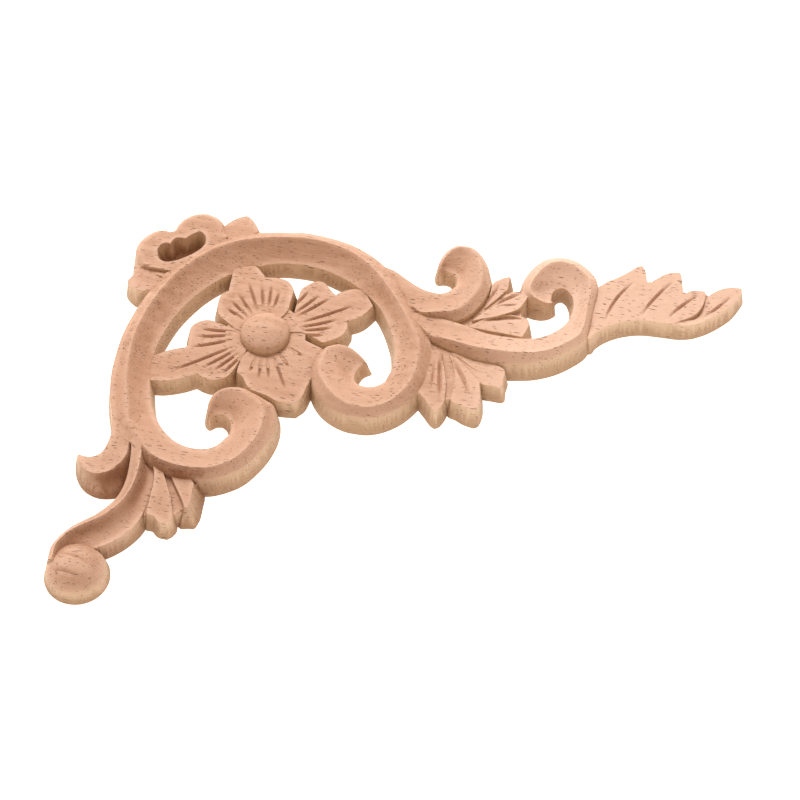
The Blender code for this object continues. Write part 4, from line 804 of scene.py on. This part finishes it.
used = np.unique(net_faces)
order = np.full(len(net_points), -1)
order[used] = np.arange(len(used))
plan, height = net_points[used], height[used]
face = order[net_faces]
back = [[int(order[v]) for v in f] for f in sawn_back(net_points, rim, on_rim)]
board_mesh = bpy.data.meshes.new("carved_board")
board_mesh.from_pydata(np.column_stack([(plan - np.array(FLOWER)) * MM, height * MM]).tolist(), [],
                       face.tolist() + back)
board_mesh.validate()

# How deep each point lies in a hollow, narrow or wide, or stands up on a crest: height in
# millimetres against the softened face.  Hollows get painted shade and crests a painted highlight.
NARROW_ROUNDS, WIDE_ROUNDS = 6, 24
NARROW_DEPTH, WIDE_DEPTH, CREST_RISE = 0.55, 4.0, 0.5
WIDE_SHARE = 0.8
near_level = softened(height, face, NARROW_ROUNDS)
wide_level = softened(near_level, face, WIDE_ROUNDS)
hollow = (np.clip((near_level - height) / NARROW_DEPTH, 0, 1)
          + np.clip((wide_level - height) / WIDE_DEPTH, 0, 1) * WIDE_SHARE)
# Crests and ridges are lightened with a painted highlight.
crest = np.clip((height - near_level) / CREST_RISE, 0, 1)
# The strip of the ball between its two creases is made paler, in the same layer as the crests.
STRIP_SLOPE, STRIP_BELOW, STRIP_HALF, STRIP_FADE = 0.2, 1.6, 1.8, 1.5
across_ball, up_ball = (plan - np.array(BALL["centre"])).T
off_strip = np.abs(up_ball + STRIP_SLOPE * across_ball + STRIP_BELOW)
pale_strip = np.clip(STRIP_FADE - off_strip / STRIP_HALF, 0, 1)
crest = np.maximum(crest, pale_strip * (np.hypot(across_ball, up_ball) < BALL["radius"]))
# Places darkened brown, strongest on slopes: partly wood browned by the cutter and partly painted
# shade, on the left volute's bevel, the hook's front, the stem's hollow and the pocket: x, y, reach
# and strength.
BROWN_AND_SHADE_SPOTS = [(-15.0, -56.5, 13.0, 1.0), (-37.0, -61.0, 11.0, 1.0), (-27.5, -64.0, 13.0, 0.8),
           (-36.0, -82.0, 13.0, 0.8), (-12.0, -62.0, 8.0, 0.6), (-36.0, 29.0, 6.0, 0.9)]
brown_and_shade = np.zeros(len(plan))
for x, y, reach, strength in BROWN_AND_SHADE_SPOTS:
    away = np.hypot(plan[:, 0] - x, plan[:, 1] - y)
    brown_and_shade = np.maximum(brown_and_shade, strength * np.exp(-(away / reach) ** 2))
for label, values in (("hollow", np.clip(hollow, 0, 1)), ("crest", crest), ("brown_and_shade", brown_and_shade)):
    layer = board_mesh.attributes.new(label, "FLOAT", "POINT")
    layer.data.foreach_set("value", values.astype(np.float32))
mesh = bmesh.new()
mesh.from_mesh(board_mesh)
bmesh.ops.recalc_face_normals(mesh, faces=mesh.faces)
mesh.to_mesh(board_mesh)
mesh.free()
board_mesh.shade_smooth()
board_mesh.set_sharp_from_angle(angle=math.radians(SHARP_EDGE))
board = bpy.data.objects.new("carved_board", board_mesh)
bpy.context.scene.collection.objects.link(board)

# Rubberwood: pale pinkish tan, a little deeper in the lower strip of the glued blank, creamier on
# the cut walls, partly as painted light bounced from the floor.  Painted shade browns the hollows and
# a painted highlight pales the crests.  Dark pore dashes run along the arm, and the cutter's fine
# ridges cover everything.
PINK_TAN = (0.580, 0.360, 0.250, 1)
DEEP_TAN = (0.470, 0.268, 0.172, 1)
PALE_PINK = (0.740, 0.515, 0.395, 1)
CREAM = (0.640, 0.490, 0.310, 1)
PORE_BROWN = (0.085, 0.038, 0.020, 1)
# Brown for painted shade in hollows and on shaded slopes, and for fibre flecks.
SHADE_AND_FLECK_BROWN = (0.250, 0.100, 0.044, 1)
# How much of a colour covers the one below it.
STRIP_SHARE = 0.35     # deep tan in the lower strip
PATCH_SHARE = 0.3      # pale pink in slow patches
END_SHARE = 0.85       # pale pink towards the end of the long arm
WALL_SHARE = 0.85      # cream on upright walls, partly side grain and partly painted light bounced from the floor
HOLLOW_SHARE = 0.45    # painted shade, brown in hollows
BROWN_AND_SHADE_SHARE = 0.8     # brown on slopes in those places, partly browning and partly painted shade
CREST_SHARE = 0.4      # painted highlight, pale pink on crests
FLECK_SHARE = 0.34     # brown flecks of fibre
GLINT_SHARE = 0.35     # pale pink between them
PORE_SHARE = 0.85      # dark pores
GLUE_SLOPE = 0.045     # the glue line climbs this much along the arm
GLUE_Y = -0.0085       # and crosses the flower's middle here

wood = bpy.data.materials.new("rubberwood")
wood.use_nodes = True
nodes, links = wood.node_tree.nodes, wood.node_tree.links
shader = nodes["Principled BSDF"]
shader.inputs["Specular IOR Level"].default_value = 0.35


def node(kind, inputs, **settings):
    """A shader node with its settings, its inputs joined to sockets or set to constant values."""
    made = nodes.new(kind)
    for key, value in settings.items():
        setattr(made, key, value)
    for slot, value in inputs.items():
        if isinstance(value, bpy.types.NodeSocket):
            links.new(value, made.inputs[slot])
        else:
            made.inputs[slot].default_value = value
    return made


def calculate(operation, *values):
    """A Math node fed by sockets or numbers."""
    return node("ShaderNodeMath", dict(enumerate(values)), operation=operation).outputs[0]


def laid_over(colour, share, top):
    """A colour with a share of another laid over it."""
    return node("ShaderNodeMix", {0: share, 6: colour, 7: top}, data_type="RGBA").outputs[2]


def map_range(value, low, high, to_low=0.0, to_high=1.0):
    """A value carried smoothly from one range to another."""
    given = {"Value": value, "From Min": low, "From Max": high, "To Min": to_low, "To Max": to_high}
    return node("ShaderNodeMapRange", given, interpolation_type="SMOOTHSTEP").outputs[0]


def in_grain(scale, shift=(0.0, 0.0, 0.0)):
    """Object coordinates in millimetres, stretched along the grain."""
    return node("ShaderNodeMapping", {"Vector": place.outputs["Object"], "Location": shift,
                                      "Scale": [value / MM for value in scale]}).outputs[0]


def noise(vector, detail, roughness=0.55):
    """A noise value on a vector."""
    return node("ShaderNodeTexNoise", {"Vector": vector, "Scale": 1.0, "Detail": detail,
                                       "Roughness": roughness}).outputs["Fac"]


def attribute(name):
    """A value carried by the board's mesh."""
    return node("ShaderNodeAttribute", {}, attribute_name=name).outputs["Fac"]


def pores(length, spacing, shift=(0.0, 0.0, 0.0), width=0.25, keep=0.5):
    """Short dark tubes along the grain, seen where the surface cuts them."""
    along = in_grain((1 / length, 1 / spacing, 1 / spacing), shift)
    cells = node("ShaderNodeTexVoronoi", {"Vector": along, "Scale": 1.0})
    tube = map_range(cells.outputs["Distance"], width * 0.5, width, 1.0, 0.0)
    split = node("ShaderNodeSeparateColor", {0: cells.outputs["Color"]})
    return calculate("MULTIPLY", tube, calculate("LESS_THAN", split.outputs[0], keep))


place = nodes.new("ShaderNodeTexCoord")
spot = node("ShaderNodeSeparateXYZ", {0: place.outputs["Object"]}).outputs
facing = nodes.new("ShaderNodeNewGeometry").outputs["Normal"]
upward = node("ShaderNodeSeparateXYZ", {0: facing}).outputs["Z"]

grain_streak = noise(in_grain((0.02, 0.45, 0.45)), 4.0)
slow_patch = noise(in_grain((0.012, 0.03, 0.03), (3.0, 1.0, 0.0)), 2.0)
strip_line = calculate("MULTIPLY_ADD", spot["X"], GLUE_SLOPE, GLUE_Y)
lower_strip = map_range(calculate("SUBTRACT", strip_line, spot["Y"]), -0.0002, 0.0002, 0.0, STRIP_SHARE)
colour = laid_over(PINK_TAN, map_range(grain_streak, 0.3, 0.72), DEEP_TAN)
colour = laid_over(colour, lower_strip, DEEP_TAN)
colour = laid_over(colour, map_range(slow_patch, 0.35, 0.7, 0.0, PATCH_SHARE), PALE_PINK)
colour = laid_over(colour, map_range(spot["X"], 0.050, 0.085, 0.0, END_SHARE), PALE_PINK)
# Upright walls turn cream: partly their sawn side grain, partly painted light bounced up from the floor.
colour = laid_over(colour, map_range(upward, 0.30, 0.62, WALL_SHARE, 0.0), CREAM)
# Painted shade: brown laid over the hollows, the grooves and the pocket's floor.
colour = laid_over(colour, calculate("MULTIPLY", attribute("hollow"), HOLLOW_SHARE), SHADE_AND_FLECK_BROWN)
# Partly browning of the wood and partly painted shade, laid on the slopes in those places.
slope_brown_and_shade = calculate("MULTIPLY", attribute("brown_and_shade"), map_range(upward, 0.78, 0.97, 1.0, 0.1))
colour = laid_over(colour, calculate("MULTIPLY", slope_brown_and_shade, BROWN_AND_SHADE_SHARE), SHADE_AND_FLECK_BROWN)
# Painted highlight: pale pink along crests and ridges.
colour = laid_over(colour, calculate("MULTIPLY", attribute("crest"), CREST_SHARE), PALE_PINK)
fibre = noise(in_grain((0.35, 3.0, 3.0)), 5.0, 0.65)
fine_grain = noise(in_grain((0.9, 4.5, 4.5), (1.7, 0.3, 0.0)), 4.0, 0.7)
fleck = calculate("MAXIMUM", map_range(fibre, 0.54, 0.72), map_range(fine_grain, 0.55, 0.75))
colour = laid_over(colour, calculate("MULTIPLY", fleck, FLECK_SHARE), SHADE_AND_FLECK_BROWN)
colour = laid_over(colour, map_range(fine_grain, 0.45, 0.30, 0.0, GLINT_SHARE), PALE_PINK)
pore_field = noise(in_grain((0.05, 0.10, 0.10), (0.0, 4.0, 0.0)), 2.0)
dashes = calculate("MAXIMUM", pores(5.5, 0.74), pores(2.8, 0.52, (5.3, 2.1, 7.7)))
dashes = calculate("MULTIPLY", dashes, map_range(pore_field, 0.38, 0.56, 0.55, 1.0))
colour = laid_over(colour, calculate("MULTIPLY", dashes, PORE_SHARE), PORE_BROWN)

ridges = node("ShaderNodeTexWave", {"Vector": in_grain((0.85, 0.55, 0.75)), "Scale": 1.0,
                                    "Distortion": 1.2, "Detail": 2.0, "Detail Scale": 1.4},
              bands_direction="DIAGONAL")
relief = calculate("MULTIPLY_ADD", ridges.outputs["Fac"], 0.35, fibre)
relief = calculate("SUBTRACT", relief, calculate("MULTIPLY", dashes, 0.9))
bump = node("ShaderNodeBump", {"Height": relief, "Strength": 0.75, "Distance": 0.00014})
for slot, value in (("Base Color", colour), ("Roughness", map_range(fibre, 0.3, 0.7, 0.58, 0.78)),
                    ("Normal", bump.outputs["Normal"])):
    links.new(value, shader.inputs[slot])
board_mesh.materials.append(wood)
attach(board, "root")
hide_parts("carved_applique")

# Studio
# A plain white floor, a broad soft light from behind on the left, and warm pale light all round.
FLOOR_REACH = 3.0
FLOOR_DROP = 0.0002    # the floor lies this far below the board's back
floor_mesh = bpy.data.meshes.new("studio_floor")
corners = [(x * FLOOR_REACH, y * FLOOR_REACH, 0) for x, y in ((-1, -1), (1, -1), (1, 1), (-1, 1))]
floor_mesh.from_pydata(corners, [], [(0, 1, 2, 3)])
floor = bpy.data.objects.new("studio_floor", floor_mesh)
bpy.context.scene.collection.objects.link(floor)
floor.location.z = -FLOOR_DROP
floor_paper = bpy.data.materials.new("white_paper")
floor_paper.use_nodes = True
paper = floor_paper.node_tree.nodes["Principled BSDF"]
for name, value in (("Base Color", (0.9, 0.9, 0.89, 1)), ("Roughness", 0.9),
                    ("Emission Color", (1, 1, 0.99, 1)), ("Emission Strength", 1.0)):
    paper.inputs[name].default_value = value
floor_mesh.materials.append(floor_paper)

LIGHT_FROM = Vector((-0.72, 1.80, 2.05))
LIGHT_TO = Vector((0.04, -0.02, 0))
lamp = bpy.data.lights.new("key_light", "AREA")
lamp.size = 0.9
lamp.energy = 77.0
key_light = bpy.data.objects.new("key_light", lamp)
key_light.location = LIGHT_FROM
key_light.rotation_euler = (LIGHT_TO - LIGHT_FROM).to_track_quat("-Z", "Y").to_euler()
bpy.context.scene.collection.objects.link(key_light)
world = bpy.data.worlds.new("pale_surround")
world.use_nodes = True
world.node_tree.nodes["Background"].inputs["Color"].default_value = (1, 0.77, 0.60, 1)
world.node_tree.nodes["Background"].inputs["Strength"].default_value = 0.68
bpy.context.scene.world = world
bpy.context.scene.view_settings.view_transform = "Standard"

# Camera
# The photographer stood in front, a little to the right, and looked down at about 55 degrees.
camera_data = bpy.data.cameras.new("camera")
camera_data.lens = 126.0
camera_data.sensor_width = 36.0
camera_data.clip_start = 0.02
camera_data.clip_end = 20.0
camera = bpy.data.objects.new("camera", camera_data)
bpy.context.scene.collection.objects.link(camera)
camera.location = (0.150298, -0.519131, 0.739879)
looks_at = Vector((0.047012, -0.011462, 0.0))
forward = (looks_at - camera.location).normalized()
sideways = Vector((0.97992, 0.19937, 0.0)).normalized()
camera.rotation_euler = Matrix((sideways, sideways.cross(forward), -forward)).transposed().to_euler()
bpy.context.scene.camera = camera
